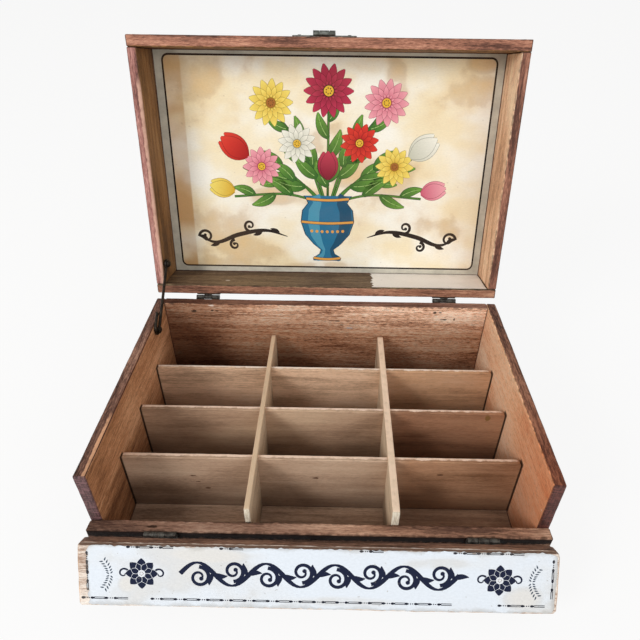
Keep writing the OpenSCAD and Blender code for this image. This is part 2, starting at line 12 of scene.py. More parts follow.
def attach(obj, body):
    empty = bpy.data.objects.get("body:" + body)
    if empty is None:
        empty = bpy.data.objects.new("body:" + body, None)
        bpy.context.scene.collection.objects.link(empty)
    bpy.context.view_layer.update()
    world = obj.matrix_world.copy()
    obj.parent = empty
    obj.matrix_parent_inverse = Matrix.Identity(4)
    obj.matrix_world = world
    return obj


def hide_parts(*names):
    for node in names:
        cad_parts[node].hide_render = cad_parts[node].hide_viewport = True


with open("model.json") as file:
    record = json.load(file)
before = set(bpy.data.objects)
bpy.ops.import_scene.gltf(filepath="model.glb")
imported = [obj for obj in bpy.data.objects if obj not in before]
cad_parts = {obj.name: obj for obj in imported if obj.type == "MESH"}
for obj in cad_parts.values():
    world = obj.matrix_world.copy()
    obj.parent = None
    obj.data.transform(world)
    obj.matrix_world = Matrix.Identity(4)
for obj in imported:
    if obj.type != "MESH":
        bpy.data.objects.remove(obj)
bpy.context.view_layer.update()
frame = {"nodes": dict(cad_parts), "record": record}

MM = 0.001
X, Y, Z = range(3)
SLOTS = {row["node"]: row["material_slot"] for row in frame["record"]["subparts"]}

# Driving sizes, as in the CAD source
HALF_W = 140.0
HALF_D = 95.0
BODY_H = 88.0
SIDE_T = 7.4
BACK_T = 7.7
BOTTOM_T = 6.0
RAIL_T = 8.0
RAIL_H = 48.0
FLAP_T = 7.4
FLAP_LOW = 48.6
LID_LOW = 88.6
LID_FRAME = 36.0
LID_TOP = LID_LOW + LID_FRAME
LID_FRONT_T = 7.6
LID_BACK_T = 7.7
LID_SIDE_T = 6.8
LID_PANEL_T = 4.5
LONG_TOP = 59.5
LONG_T = (3.4, 4.6)
LONG_X = (-43.567, 46.167)
CROSS_T = 4.0
CROSS_TOP = 57.0
CROSS_Y = (-44.425, 0.15, 44.725)
DIVIDER_GAP = 0.4
PAPER_T = 0.3

LEFT_IN = -HALF_W + SIDE_T
RIGHT_IN = HALF_W - SIDE_T
FRONT_IN = -HALF_D + RAIL_T
BACK_IN = HALF_D - BACK_T

# Pins as (y, z), and the turns from closed to rest in degrees
LID_PIN = (97.6, 88.0)
LID_TURN = -102.0
FLAP_PIN = (-96.9, 48.0)
FLAP_TURN = 149.62


def turned(pin, degrees):
    """Turns a closed lid or flap to its place at rest, in millimetres."""
    place = Matrix.Translation((0, pin[0], pin[1]))
    return place @ Matrix.Rotation(math.radians(degrees), 4, "X") @ place.inverted()


REST = {"body": Matrix.Identity(4), "lid": turned(LID_PIN, LID_TURN), "flap": turned(FLAP_PIN, FLAP_TURN)}


def add_piece(name, points, faces, material, attribute, places, body, node, stands_in=True):
    """A mesh piece that rides on a body, from points in millimetres with that body closed.

    Its material reads places, one for each point, as the named attribute. node is the CAD node
    that it stands in for, which it hides; a piece that does not stand in leaves the node shown."""
    mesh = bpy.data.meshes.new(name)
    mesh.from_pydata([(REST[body] @ Vector(p)) * MM for p in points], [], faces)
    data = mesh.attributes.new(attribute, "FLOAT_VECTOR", "POINT")
    data.data.foreach_set("vector", np.array(places, float).ravel())
    mesh.materials.append(material)
    made = bpy.data.objects.new(name, mesh)
    bpy.context.scene.collection.objects.link(made)
    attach(made, body)
    if stands_in:
        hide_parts(node)
    return made


# Colours and shader building

def linear(code):
    """A colour written as six hex digits, in Blender's linear space."""
    parts = [int(code[i:i + 2], 16) / 255 for i in (0, 2, 4)]
    return tuple(c / 12.92 if c <= 0.04045 else ((c + 0.055) / 1.055) ** 2.4 for c in parts) + (1.0,)


class Shader:
    """Short calls for building one material's node tree."""

    def __init__(self, name):
        self.material = bpy.data.materials.new(name)
        self.material.use_nodes = True
        self.tree = self.material.node_tree
        self.tree.nodes.clear()
        self.bsdf = self.node("ShaderNodeBsdfPrincipled")
        self.output = self.node("ShaderNodeOutputMaterial")
        self.link(self.bsdf.outputs["BSDF"], self.output.inputs["Surface"])

    def node(self, kind, **settings):
        made = self.tree.nodes.new(kind)
        for key, value in settings.items():
            setattr(made, key, value)
        return made

    def link(self, source, target):
        if isinstance(source, bpy.types.NodeSocket):
            self.tree.links.new(source, target)
        else:
            target.default_value = source

    def math(self, operation, *values, clamp=False):
        made = self.node("ShaderNodeMath", operation=operation, use_clamp=clamp)
        for i, value in enumerate(values):
            self.link(value, made.inputs[i])
        return made.outputs[0]

    def plus(self, a, b):
        return self.math("ADD", a, b)

    def minus(self, a, b):
        return self.math("SUBTRACT", a, b)

    def times(self, a, b):
        return self.math("MULTIPLY", a, b)

    def scaled(self, value, factor, offset, clamp=False):
        """value times factor, plus offset."""
        return self.math("MULTIPLY_ADD", value, factor, offset, clamp=clamp)

    def swing(self, value, reach, middle):
        """middle, moved by reach times how far value is above a half."""
        return self.scaled(self.minus(value, 0.5), reach, middle)

    def vector(self, operation, a, b):
        made = self.node("ShaderNodeVectorMath", operation=operation)
        self.link(a, made.inputs[0])
        self.link(b, made.inputs[1])
        return made.outputs[0]

    def split(self, vector):
        made = self.node("ShaderNodeSeparateXYZ")
        self.link(vector, made.inputs[0])
        return made.outputs

    def distance(self, place, spot, reach):
        """How far place is from spot, where 1 is reach along each axis."""
        made = self.node("ShaderNodeVectorMath", operation="LENGTH")
        self.link(self.vector("DIVIDE", self.vector("SUBTRACT", place, spot), reach), made.inputs[0])
        return made.outputs["Value"]

    def attribute(self, name, kind="Vector"):
        return self.node("ShaderNodeAttribute", attribute_name=name).outputs[kind]

    def object_mm(self):
        """Object coordinates in millimetres."""
        place = self.node("ShaderNodeTexCoord").outputs["Object"]
        return self.vector("MULTIPLY", place, (1 / MM, 1 / MM, 1 / MM))

    def noise(self, vector, scale, detail, roughness=0.5):
        """Noise whose scale is given for each axis, in waves per millimetre."""
        made = self.node("ShaderNodeTexNoise")
        self.link(self.vector("MULTIPLY", vector, scale), made.inputs["Vector"])
        made.inputs["Scale"].default_value = 1.0
        made.inputs["Detail"].default_value = detail
        made.inputs["Roughness"].default_value = roughness
        return made.outputs["Fac"]

    def step(self, value, low, high, out_low=0.0, out_high=1.0):
        """A smooth change from out_low below low to out_high above high."""
        made = self.node("ShaderNodeMapRange", interpolation_type="SMOOTHSTEP")
        for i, number in enumerate((value, low, high, out_low, out_high)):
            self.link(number, made.inputs[i])
        return made.outputs[0]

    def rising(self, value, start, stop):
        """0 at start and 1 at stop, whichever of them is higher."""
        return self.step(value, start, stop) if start < stop else self.step(value, stop, start, 1.0, 0.0)

    def between(self, value, low, high, soft):
        """1 where value lies between low and high, falling to 0 over soft."""
        return self.times(self.step(value, low - soft, low), self.step(value, high, high + soft, 1.0, 0.0))

    def mix(self, factor, a, b, blend="MIX"):
        made = self.node("ShaderNodeMix", data_type="RGBA", blend_type=blend)
        self.link(factor, made.inputs[0])
        self.link(a, made.inputs[6])
        self.link(b, made.inputs[7])
        return made.outputs[2]

    def cover(self, colour, amount, code):
        """A colour covered by another, which is written as six hex digits."""
        return self.mix(amount, colour, linear(code))

    def dim(self, colour, factor):
        """A colour multiplied by one number."""
        made = self.node("ShaderNodeVectorMath", operation="SCALE")
        self.link(colour, made.inputs[0])
        self.link(factor, made.inputs["Scale"])
        return made.outputs[0]

    def ramp(self, value, *stops):
        made = self.node("ShaderNodeValToRGB")
        self.link(value, made.inputs[0])
        points = made.color_ramp.elements
        while len(points) < len(stops):
            points.new(0.5)
        for point, (place, colour) in zip(points, stops):
            point.position = place
            point.color = colour
        return made.outputs[0]

    def bump(self, height, distance, strength):
        made = self.node("ShaderNodeBump")
        made.inputs["Strength"].default_value = strength
        made.inputs["Distance"].default_value = distance / 1000
        self.link(height, made.inputs["Height"])
        self.link(made.outputs[0], self.bsdf.inputs["Normal"])

    def finish(self, colour, roughness, specular, metallic=0.0):
        self.link(colour, self.bsdf.inputs["Base Color"])
        self.link(roughness, self.bsdf.inputs["Roughness"])
        self.link(metallic, self.bsdf.inputs["Metallic"])
        self.bsdf.inputs["Specular IOR Level"].default_value = specular
        return self.material


# Wood

class Wood:
    """The colours and strengths of one board's wood."""

    def __init__(self, dark, mid, light, grain=1.0, pores=1.0, rings=1.0, ring_mm=9.0, blotch=1.0,
                 streak=1.0):
        self.dark = linear(dark)
        self.mid = linear(mid)
        self.light = linear(light)
        self.grain = grain
        self.pores = pores
        self.rings = rings
        self.ring_mm = ring_mm
        self.blotch = blotch
        self.streak = streak


STAIN = Wood("38241d", "704e42", "96725f")
FLAP_STAIN = Wood("493429", "906b58", "bf9a7f", grain=1.1)
SIDE_STAIN = Wood("33201a", "745246", "a98472", grain=1.3, pores=1.5)
STAIN_RED = Wood("5a372b", "a46e58", "d49e83", grain=1.1)
# BARE_LEFT and BARE_RIGHT are one bare oak; the right inner wall's is made lighter than the left's in part
# as painted light.
BARE_LEFT = Wood("7f5234", "c1875d", "edb78c", rings=0.4, streak=0.7)
BARE_RIGHT = Wood("e29c73", "ffd6b0", "ffebd6", grain=1.25, pores=0.75, rings=0.2, streak=0.6)
BARE_BACK = Wood("8f6148", "f0bd9a", "ffeed8", grain=1.7, pores=1.5, rings=0.45, ring_mm=14, streak=0.6)
RAIL_WOOD = Wood("64473a", "ae8269", "e2b698", grain=0.9, pores=0.8, rings=0.6)
FLOOR_WOOD = Wood("8c715c", "c9a88e", "f3d1b3", pores=0.5, rings=0.5, grain=0.7)
FLAP_BARE = Wood("a98a76", "f0dfd0", "fbf4ea", grain=1.2, rings=0.4)
LID_BARE = Wood("a17555", "e4b38e", "ffe4c1", grain=0.9)
# LID_BARE_DARK is LID_BARE's bare oak made darker in part as painted shade, for the lid's left and front
# inner walls.
LID_BARE_DARK = Wood("543820", "8d643c", "b08658", grain=0.9)
LID_BARE_BACK = Wood("483627", "735b45", "988061", grain=1.3)

# Noise scales along the grain, across it and through the board, in waves per millimetre
SWAY = (0.006, 0.028, 0.028)
FIBRE = (0.2, 1.5, 1.5)
LONG_LINE = (0.03, 0.85, 0.85)
STREAK = (0.014, 0.22, 0.22)
BLOTCH = (0.014, 0.034, 0.034)
COARSE_PORE = (0.22, 1.5, 1.5)
FINE_PORE = (0.4, 2.6, 2.6)
END_GRAIN = (0.4, 0.14, 1.3)
SAW_MARK = (0.3, 1.3, 0.14)


def wood_colour(s, place, wood, seed):
    """Grain along the first axis of place: fibres, growth rings, pores and blotches."""
    moved = s.vector("ADD", place, (seed * 61.7, seed * 23.1, seed * 11.3))
    x, y, z = s.split(place)
    wander = s.times(s.minus(s.noise(moved, SWAY, 3), 0.5), 34.0)
    across = s.plus(s.plus(y, wander), 9.0 * math.sin(seed * 2.3))
    depth = s.plus(z, 14.0 + 5 * math.cos(seed * 1.7))
    radius = s.math("SQRT", s.plus(s.times(across, across), s.times(depth, depth)))
    taper = s.plus(radius, s.times(x, 0.035 * math.sin(seed * 5.1)))
    turn = s.times(taper, 2 * math.pi / wood.ring_mm)
    ring = s.math("POWER", s.scaled(s.math("SINE", turn), 0.5, 0.5), 2.6)
    fibre = s.noise(moved, FIBRE, 5, 0.75)
    coarse = s.step(s.noise(moved, COARSE_PORE, 2, 0.6), 0.56, 0.66)
    fine = s.step(s.noise(moved, FINE_PORE, 2, 0.6), 0.55, 0.66)
    pore = s.times(s.math("MAXIMUM", coarse, s.times(fine, 0.7)), s.scaled(ring, 0.4, 0.6))
    tone = s.swing(fibre, 1.25 * wood.grain, 0.5)
    tone = s.swing(s.noise(moved, LONG_LINE, 3, 0.6), 0.65 * wood.grain, tone)
    tone = s.swing(s.noise(moved, STREAK, 3, 0.55), 0.7 * wood.streak, tone)
    tone = s.swing(s.noise(moved, BLOTCH, 2), wood.blotch, tone)
    tone = s.scaled(ring, -0.16 * wood.rings, tone, clamp=True)
    colour = s.ramp(tone, (0.16, wood.dark), (0.5, wood.mid), (0.84, wood.light))
    colour = s.dim(colour, s.scaled(pore, -0.5 * wood.pores, 1.0))
    return colour, s.scaled(pore, -0.8, s.times(fibre, 0.7))


# A board's own axes: along the grain, across it, and through its thickness
ALONG, ACROSS, THROUGH = range(3)


class Surface:
    """Where a point of a board's surface is, for the layers of colour that follow."""

    def __init__(self, s, half, inner_side, wrap):
        self.half = half
        self.place = s.attribute("board")
        self.axes = s.split(self.place)
        self.facing = s.times(self.axes[THROUGH], float(inner_side or 1))
        wobble = s.noise(self.place, (0.15, 0.15, 0.15), 3)
        rim = s.scaled(wobble, 1.2 * wrap, half[THROUGH] - wrap)
        self.inside = s.step(self.facing, s.minus(rim, 0.4), rim)
        self.rough = s.noise(self.place, (0.25, 0.25, 0.25), 4)
        inward = [s.minus(reach, s.math("ABSOLUTE", axis)) for reach, axis in zip(half, self.axes)]
        self.from_end = inward[ALONG]
        low = s.math("MINIMUM", inward[ALONG], inward[ACROSS])
        high = s.math("MAXIMUM", inward[ALONG], inward[ACROSS])
        self.from_edge = s.math("MAXIMUM", low, s.math("MINIMUM", high, inward[THROUGH]))


def foot_shade(s, at, colour, foot):
    # Painted shade: the whole board darkens towards its lower edge, as the compartments are shaded low
    # down.
    drift = s.scaled(s.noise(at.place, (0.03, 0.05, 0.05), 2), 24.0, at.axes[ACROSS])
    half = at.half[ACROSS]
    return s.dim(colour, s.step(drift, 6 - half, half * 0.5 + 12, 1 - foot, 1.0))


def edge_line(s, at, colour, edge, strength, reach):
    ragged = s.math("MAXIMUM", s.times(s.minus(at.rough, 0.36), 4.2 * reach), 0.25)
    return s.cover(colour, s.step(at.from_edge, 0.0, ragged, strength, 0.0), edge)


def slot_shade(s, at, colour, along, reach, top):
    # Painted shade: dark lines on a side wall's inner face, beside each cross divider's end and up to its
    # top.
    gap = s.between(at.axes[ALONG], along - reach, along + reach, 0.5)
    gap = s.times(gap, s.step(at.axes[ACROSS], top - 0.5, top + 0.5, 1.0, 0.0))
    return s.cover(colour, s.times(s.times(gap, at.inside), 0.85), "1c110b")


def shade(s, at, colour, axis, start, stop, tint):
    tone = s.mix(s.rising(at.axes[axis], start, stop), (1, 1, 1, 1), (*tint, 1))
    return s.mix(1.0, colour, tone, "MULTIPLY")


def rubbed_edge(s, at, colour, start, stop, deep, edge_sign, rubbed, reach):
    half = at.half
    strip = s.step(s.times(at.axes[ACROSS], float(edge_sign)), half[ACROSS] - reach[0],
                   half[ACROSS] - reach[1])
    strip = s.times(strip, s.between(at.axes[ALONG], start, stop, 10.0))
    inner_half = s.scaled(at.rough, 2.4, s.minus(at.facing, half[THROUGH] - deep))
    strip = s.times(strip, s.step(inner_half, 1.0, 1.6))
    return s.cover(colour, s.times(strip, s.step(at.rough, 0.28, 0.62, 0.55, 0.88)), rubbed)


def dark_edge_band(s, at, colour, side, edge_sign, deep, darkening):
    # A dark band along an edge of a face; on the rail's front face this is painted shade in the gap under
    # the flap.
    half = at.half
    band = s.step(s.times(at.axes[THROUGH], float(side)), half[THROUGH] - 1.0, half[THROUGH] - 0.2)
    inward = s.scaled(at.axes[ACROSS], -float(edge_sign), half[ACROSS])
    band = s.times(band, s.step(inward, 0.05 * deep, 0.2 * deep))
    band = s.times(band, s.step(s.scaled(at.rough, deep, inward), 1.4 * deep, 1.9 * deep, 1.0, 0.0))
    return s.cover(colour, s.times(band, 0.99), darkening)


def nick(s, at, colour, spot, reach, chipped):
    far = s.swing(at.rough, 2.5, s.distance(at.place, spot, reach))
    return s.cover(colour, s.step(far, 0.6, 1.1, 0.9, 0.0), chipped)


def end_grain(s, at, colour, end, marks):
    """The two ends' colour, with saw marks, and how deep their grain is."""
    ends = s.step(at.from_end, 0.35, 1.1, 1.0, 0.0)
    rough = s.noise(at.place, END_GRAIN, 5, 0.75)
    middle = linear(end)
    dark = tuple(c * (0.45 - 0.3 * marks) for c in middle)
    bright = tuple(min(1.0, c * (1.5 + 1.6 * marks)) for c in middle)
    grained = s.ramp(rough, (0.34, dark), (0.52, middle), (0.72, bright))
    if marks:
        saw = s.step(s.noise(at.place, SAW_MARK, 3, 0.7), 0.53, 0.60)
        grained = s.mix(s.times(saw, marks), grained, bright)
    return s.mix(s.times(ends, 0.9), colour, grained), s.times(rough, ends)


def board_material(half, name, outer, seed, inner=None, inner_side=0, edge="2a1a14",
                   edge_strength=0.7, edge_mm=1.4, end="5a3a2c", end_marks=0.0, foot=0.0, slots=(),
                   shades=(), worn=(), worn_reach=(1.3, 0.6), edge_darkening=(), nicks=(), specular=0.28,
                   wrap=1.35):
    """Stained outer faces, a plainer inner face, dark worn edges and end grain; on the dividers the edge
    line is a painted highlight.

    Places are the board's own: along the grain, across it, and through its thickness.
    foot is how much painted shade darkens the board towards its lower edge.
    slots are (place along, half width, top) of painted shade lines on the inner face, beside the dividers'
    ends.
    shades are (axis, start, stop, tint) of a change of tone, from none at start to the tint at stop; on the
    right side, back and floor boards they are mostly painted light and shade.
    worn is (start, stop, depth, edge, colour) of the rubbed inner half of an edge.
    worn_reach is how far below the edge the rubbing ends, and where it is whole.
    edge_darkening is (side, edge, depth, colour) of a dark band along an edge of a face; on the rail's
    front face it is painted shade, in the gap under the flap.
    nicks are (place, reach, colour) of small dents and chips.
    wrap is how far the inner face's wood shows round its edges."""
    s = Shader(name)
    at = Surface(s, half, inner_side, wrap)
    colour, height = wood_colour(s, at.place, outer, seed)
    if inner:
        colour = s.mix(at.inside, colour, wood_colour(s, at.place, inner, seed + 3)[0])
    if foot:
        colour = foot_shade(s, at, colour, foot)
    colour = edge_line(s, at, colour, edge, edge_strength, edge_mm)
    for slot in slots:
        colour = slot_shade(s, at, colour, *slot)
    for change in shades:
        colour = shade(s, at, colour, *change)
    for strip in worn:
        colour = rubbed_edge(s, at, colour, *strip, worn_reach)
    for band in edge_darkening:
        colour = dark_edge_band(s, at, colour, *band)
    for dent in nicks:
        colour = nick(s, at, colour, *dent)
    colour, end_height = end_grain(s, at, colour, end, end_marks)
    s.bump(s.plus(end_height, height), 0.3, 0.5)
    return s.finish(colour, s.scaled(height, 0.12, 0.55), specular)


# Boards

def lattice(low, high, radius, pitch):
    """Places of the grid lines along one side, closer together near the ends."""
    near = [radius * v for v in (0, 0.15, 0.4, 0.75, 1.0, 1.6) if radius * v < (high - low) / 2.2]
    start = [low + v for v in near]
    stop = [high - v for v in near][::-1]
    count = max(1, round((stop[0] - start[-1]) / pitch))
    middle = [start[-1] + (stop[0] - start[-1]) * i / count for i in range(1, count)]
    return start + middle + stop


def box_grid(lines):
    """The points and faces of a box whose sides are divided at the given places along each axis."""
    index, points, faces = {}, [], []

    def point(key):
        if key not in index:
            index[key] = len(points)
            points.append(Vector([lines[k][key[k]] for k in range(3)]))
        return index[key]

    for axis, u, v in ((X, Y, Z), (Y, Z, X), (Z, X, Y)):
        for end, flip in ((0, True), (len(lines[axis]) - 1, False)):
            for i in range(len(lines[u]) - 1):
                for j in range(len(lines[v]) - 1):
                    corners = []
                    for a, b in ((i, j), (i + 1, j), (i + 1, j + 1), (i, j + 1)):
                        key = [0, 0, 0]
                        key[axis], key[u], key[v] = end, a, b
                        corners.append(point(tuple(key)))
                    faces.append(corners[::-1] if flip else corners)
    return points, faces


def rounded_corner(place, centre, half, corner):
    """How place moves for one rounded corner (axis, sign, axis, sign, radius)."""
    a, sign_a, b, sign_b, radius = corner
    near_a = radius - (half[a] - sign_a * (place[a] - centre[a]))
    near_b = radius - (half[b] - sign_b * (place[b] - centre[b]))
    move = Vector()
    if near_a > 0 and near_b > 0:
        shrink = max(near_a, near_b) / math.hypot(near_a, near_b)
        move[a] = -sign_a * near_a * (1 - shrink)
        move[b] = -sign_b * near_b * (1 - shrink)
    return move


def worn_edge(p, low, high, radius, wear, shift):
    """How p moves for edges whose rounding varies from place to place."""
    rough = noise.noise((p + shift) * 0.09) + 0.5 * noise.noise((p + shift) * 0.31)
    local = radius * (1 + wear * rough)
    local = max(0.25 * radius, min(local, 1.6 * radius, 0.45 * min(high - low)))
    core = Vector([min(max(p[i], low[i] + local), high[i] - local) for i in range(3)])
    away = p - core
    if away.length < 1e-6:
        return Vector()
    return core + away.normalized() * min(away.length, local) - p


def board(name, node, low, high, grain, wide, finish, body="body", radius=0.9, wear=0.5, corners=(),
          seed=0, pitch=3.5):
    """A worn board in place of a node, between two corners. grain and wide are its axes in the box.

    finish holds what board_material is given, apart from the board's half sizes."""
    low, high = Vector(low), Vector(high)
    centre, half = (low + high) / 2, (high - low) / 2
    order = (grain, wide, 3 - grain - wide)
    points, faces = box_grid([lattice(low[i], high[i], radius, pitch) for i in range(3)])
    shift = Vector((seed * 17.3, seed * 5.1, seed * 9.7))
    made = []
    for p in points:
        q = p.copy()
        for corner in corners:
            q += rounded_corner(q, centre, half, corner)
        made.append(q + worn_edge(p, low, high, radius, wear, shift))
    places = [[(q - centre)[i] for i in order] for q in made]
    material = board_material(tuple(half[i] for i in order), **finish)
    mesh = add_piece(name, made, faces, material, "board", places, body, node).data
    mesh.shade_smooth()
    mesh.set_sharp_from_angle(angle=math.radians(48))


def build_body():
    top = BODY_H / 2
    middle = (FRONT_IN + HALF_D) / 2
    top_edge = (ACROSS, top - 1.1, top - 0.5, (1.22, 1.16, 1.06))
    sides = dict(outer=SIDE_STAIN, end_marks=0.8, foot=0.3, wrap=0.6,
                 slots=[(y - middle, CROSS_T / 2 + 0.5, CROSS_TOP - top) for y in CROSS_Y])
    board("left_side_board", "left_side", (-HALF_W, FRONT_IN, 0), (LEFT_IN, HALF_D, BODY_H), Y, Z,
          dict(sides, name="left_oak", seed=1, inner=BARE_LEFT, inner_side=1, end="5a4042",
               shades=[top_edge], edge_darkening=[(1, 1, 0.55, "3c1c10")],
               worn=[(-100.0, -48.0, 2.6, 1, "ecb288"), (-60.0, 100.0, 0.6, 1, "a87258")]),
          radius=1.0, seed=1)
    board("right_side_board", "right_side", (RIGHT_IN, FRONT_IN, 0), (HALF_W, HALF_D, BODY_H), Y, Z,
          dict(sides, name="right_oak", seed=2, inner=BARE_RIGHT, inner_side=-1, end="4c2a25",
               nicks=[((-88.5, 17.0, -2.6), (1.6, 1.6, 1.2), "f0e4d4")],
               # painted light and shade: the right inner wall darkens from the back towards the front
               shades=[(ALONG, 10, -90, (0.78, 0.54, 0.44)), (ALONG, 90, 20, (0.98, 0.85, 0.76)),
                       top_edge]),
          radius=1.0, seed=2)
    dents = [((x, z - top, -3.9), (wide, high, 2.0), colour) for x, z, wide, high, colour in (
        (-108.8, 80.7, 3.2, 1.6, "2a160c"), (-94.0, 81.5, 1.5, 0.8, "2a160c"),
        (-89.5, 81.2, 1.2, 0.7, "3a2418"), (-93.5, 86.6, 2.2, 0.9, "efe0d2"),
        (89.5, 82.8, 1.8, 1.1, "2a160c"), (94.0, 83.2, 1.3, 1.0, "2a160c"),
        (98.0, 76.0, 3.4, 0.7, "2a160c"), (106.5, 76.6, 1.2, 1.4, "2a160c"),
        (19.8, 66.0, 3.2, 0.9, "b8aca6"), (6.0, 73.0, 7.0, 0.5, "3c2114"))]
    board("back_oak_board", "back_board", (LEFT_IN, BACK_IN, 0), (RIGHT_IN, HALF_D, BODY_H), X, Z,
          dict(name="back_oak", outer=STAIN, seed=3, inner=BARE_BACK, inner_side=-1, foot=0.7,
               wrap=0.5, nicks=dents,
               # painted shade darkens the back board towards its left end and below the dividers' tops; it
               # is also lighter along its top
               shades=[(ACROSS, top - 0.45, top - 0.2, (1.3, 1.3, 1.25)),
                       (ALONG, 40, -20, (0.76, 0.69, 0.64)), (ALONG, -60, -110, (0.50, 0.43, 0.38)),
                       (ACROSS, 34, 14, (0.61, 0.50, 0.42)), (ACROSS, 32, 41, (1.25, 1.3, 1.35))]),
          seed=3)
    knots = [((x, y, 2.6), reach, "20130c") for x, y, reach in (
        (3.0, -61.0, (2.2, 1.2, 2.0)), (12.0, -72.5, (1.4, 0.8, 2.0)), (-60.0, -66.0, (1.6, 0.7, 2.0)))]
    board("floor_board", "bottom_board", (LEFT_IN, FRONT_IN, 0), (RIGHT_IN, BACK_IN, BOTTOM_T), X, Y,
          dict(name="floor_wood", outer=STAIN, seed=4, inner=FLOOR_WOOD, inner_side=1,
               # painted shade: the floor darkens from the left compartments towards the right
               edge_strength=0.3, nicks=knots, shades=[(ALONG, -80, 90, (0.585, 0.537, 0.497))]),
          radius=0.5, seed=4)
    board("rail_board", "front_rail", (-HALF_W, -HALF_D, 0), (HALF_W, FRONT_IN, RAIL_H), X, Z,
          dict(name="rail_oak", outer=RAIL_WOOD, seed=5, edge="24150f", edge_mm=2.0, specular=0.08,
               # painted shade: the near-black band along the top of the front face stands for the shadow in
               # the gap under the flap; the rail also darkens towards its left end
               edge_darkening=[(-1, 1, 5.0, "160805")], shades=[(ALONG, 60, -60, (0.66, 0.68, 0.72))],
               nicks=[((-101.0, 24.0, -0.5), (3.0, 2.0, 1.2), "2c1c14")]),
          radius=1.2, wear=0.8, seed=5, pitch=2.5)


def build_dividers():
    def pale(name, seed, mid, light, crest, deep, end, foot=0.5, shades=(), nicks=()):
        """crest is the colour of the rubbed top edge, and deep is how much of it is rubbed."""
        wood = Wood("8a6c54", mid, light, grain=0.5, pores=0.45, rings=0.35, ring_mm=18, streak=0.6,
                    blotch=0.9)
        # edge is a painted highlight along the divider's edges
        return dict(name=name, outer=wood, seed=seed, edge="e6cfae", edge_strength=0.45, edge_mm=0.45,
                    end=end, foot=foot, shades=shades, nicks=nicks, worn_reach=(0.6, 0.2),
                    worn=[(-HALF_W, HALF_W, deep, 1, crest)],
                    edge_darkening=[(side, -1, 0.6, "2a1c12") for side in (-1, 1)])

    start, stop = FRONT_IN + DIVIDER_GAP, BACK_IN - DIVIDER_GAP
    for x, thick, side, crest in zip(LONG_X, LONG_T, ("left", "right"), ("e0c2a0", "ffe2c6")):
        node = f"long_divider_{side}"
        board(f"{node}_board", node, (x - thick / 2, start, BOTTOM_T), (x + thick / 2, stop, LONG_TOP),
              Y, Z, pale(f"long_wood_{side}", 12 + x / 50, "dcc3a4", "f0dcc0", crest, 2 * thick,
                         end="eee2cb", foot=0.35),
              radius=0.6, seed=12 + x, corners=((Y, 1, Z, 1, 4.0), (Y, -1, Z, 1, 1.5)))
    start, stop = LEFT_IN + DIVIDER_GAP, RIGHT_IN - DIVIDER_GAP
    front_face = -CROSS_T / 2
    knots = [((x, z, front_face), (2.2, 0.8, 2.0), "5a3a28") for x, z in (
        (-86.5, 7.5), (-83.5, 1.0), (-78.6, -5.7), (-3.4, 7.2), (79.8, 12.8))]
    spill = [((119.5, 21.5, front_face), (2.0, 4.0, 2.0), "8f6d3e")]
    rows = (("front", knots, "c2a288", "dcc0a4", "ffe2ca", (0.90, 0.73, 0.60)),
            ("middle", spill, "c2a084", "dcbe9e", "ffe4ce", (0.82, 0.64, 0.55)),
            ("rear", (), "ecc5a3", "ffe0c4", "fff0e0", (0.82, 0.72, 0.62)))
    for y, (row, nicks, mid, light, crest, right) in zip(CROSS_Y, rows):
        node = f"cross_divider_{row}"
        board(f"{node}_board", node, (start, y - CROSS_T / 2, BOTTOM_T),
              (stop, y + CROSS_T / 2, CROSS_TOP), X, Z,
              # end is dark here: painted shade in the narrow gaps between the divider's ends and the side
              # walls
              pale(f"cross_wood_{row}", 16 + y / 30, mid, light, crest, 0.55 * CROSS_T, end="4a3626",
                   shades=[(ALONG, 40, 60, right)], nicks=nicks),
              radius=0.5, seed=20 + y, corners=((X, 1, Z, 1, 3.0), (X, -1, Z, 1, 1.5)))


def build_flap():
    board("flap_oak_board", "flap_board", (-HALF_W, -HALF_D, FLAP_LOW),
          (HALF_W, -HALF_D + FLAP_T, BODY_H), X, Z,
          dict(name="flap_oak", outer=FLAP_STAIN, seed=11, inner=FLAP_BARE, inner_side=1, edge="a58a74",
               edge_strength=0.6, end="d8b08e", edge_darkening=[(1, -1, 1.5, "5f4535")]),
          "flap", radius=1.3, wear=0.7, seed=11, pitch=2.5,
          corners=((X, 1, Z, -1, 5.0), (X, -1, Z, -1, 3.5), (X, -1, Z, 1, 2.0), (X, 1, Z, 1, 3.0)))


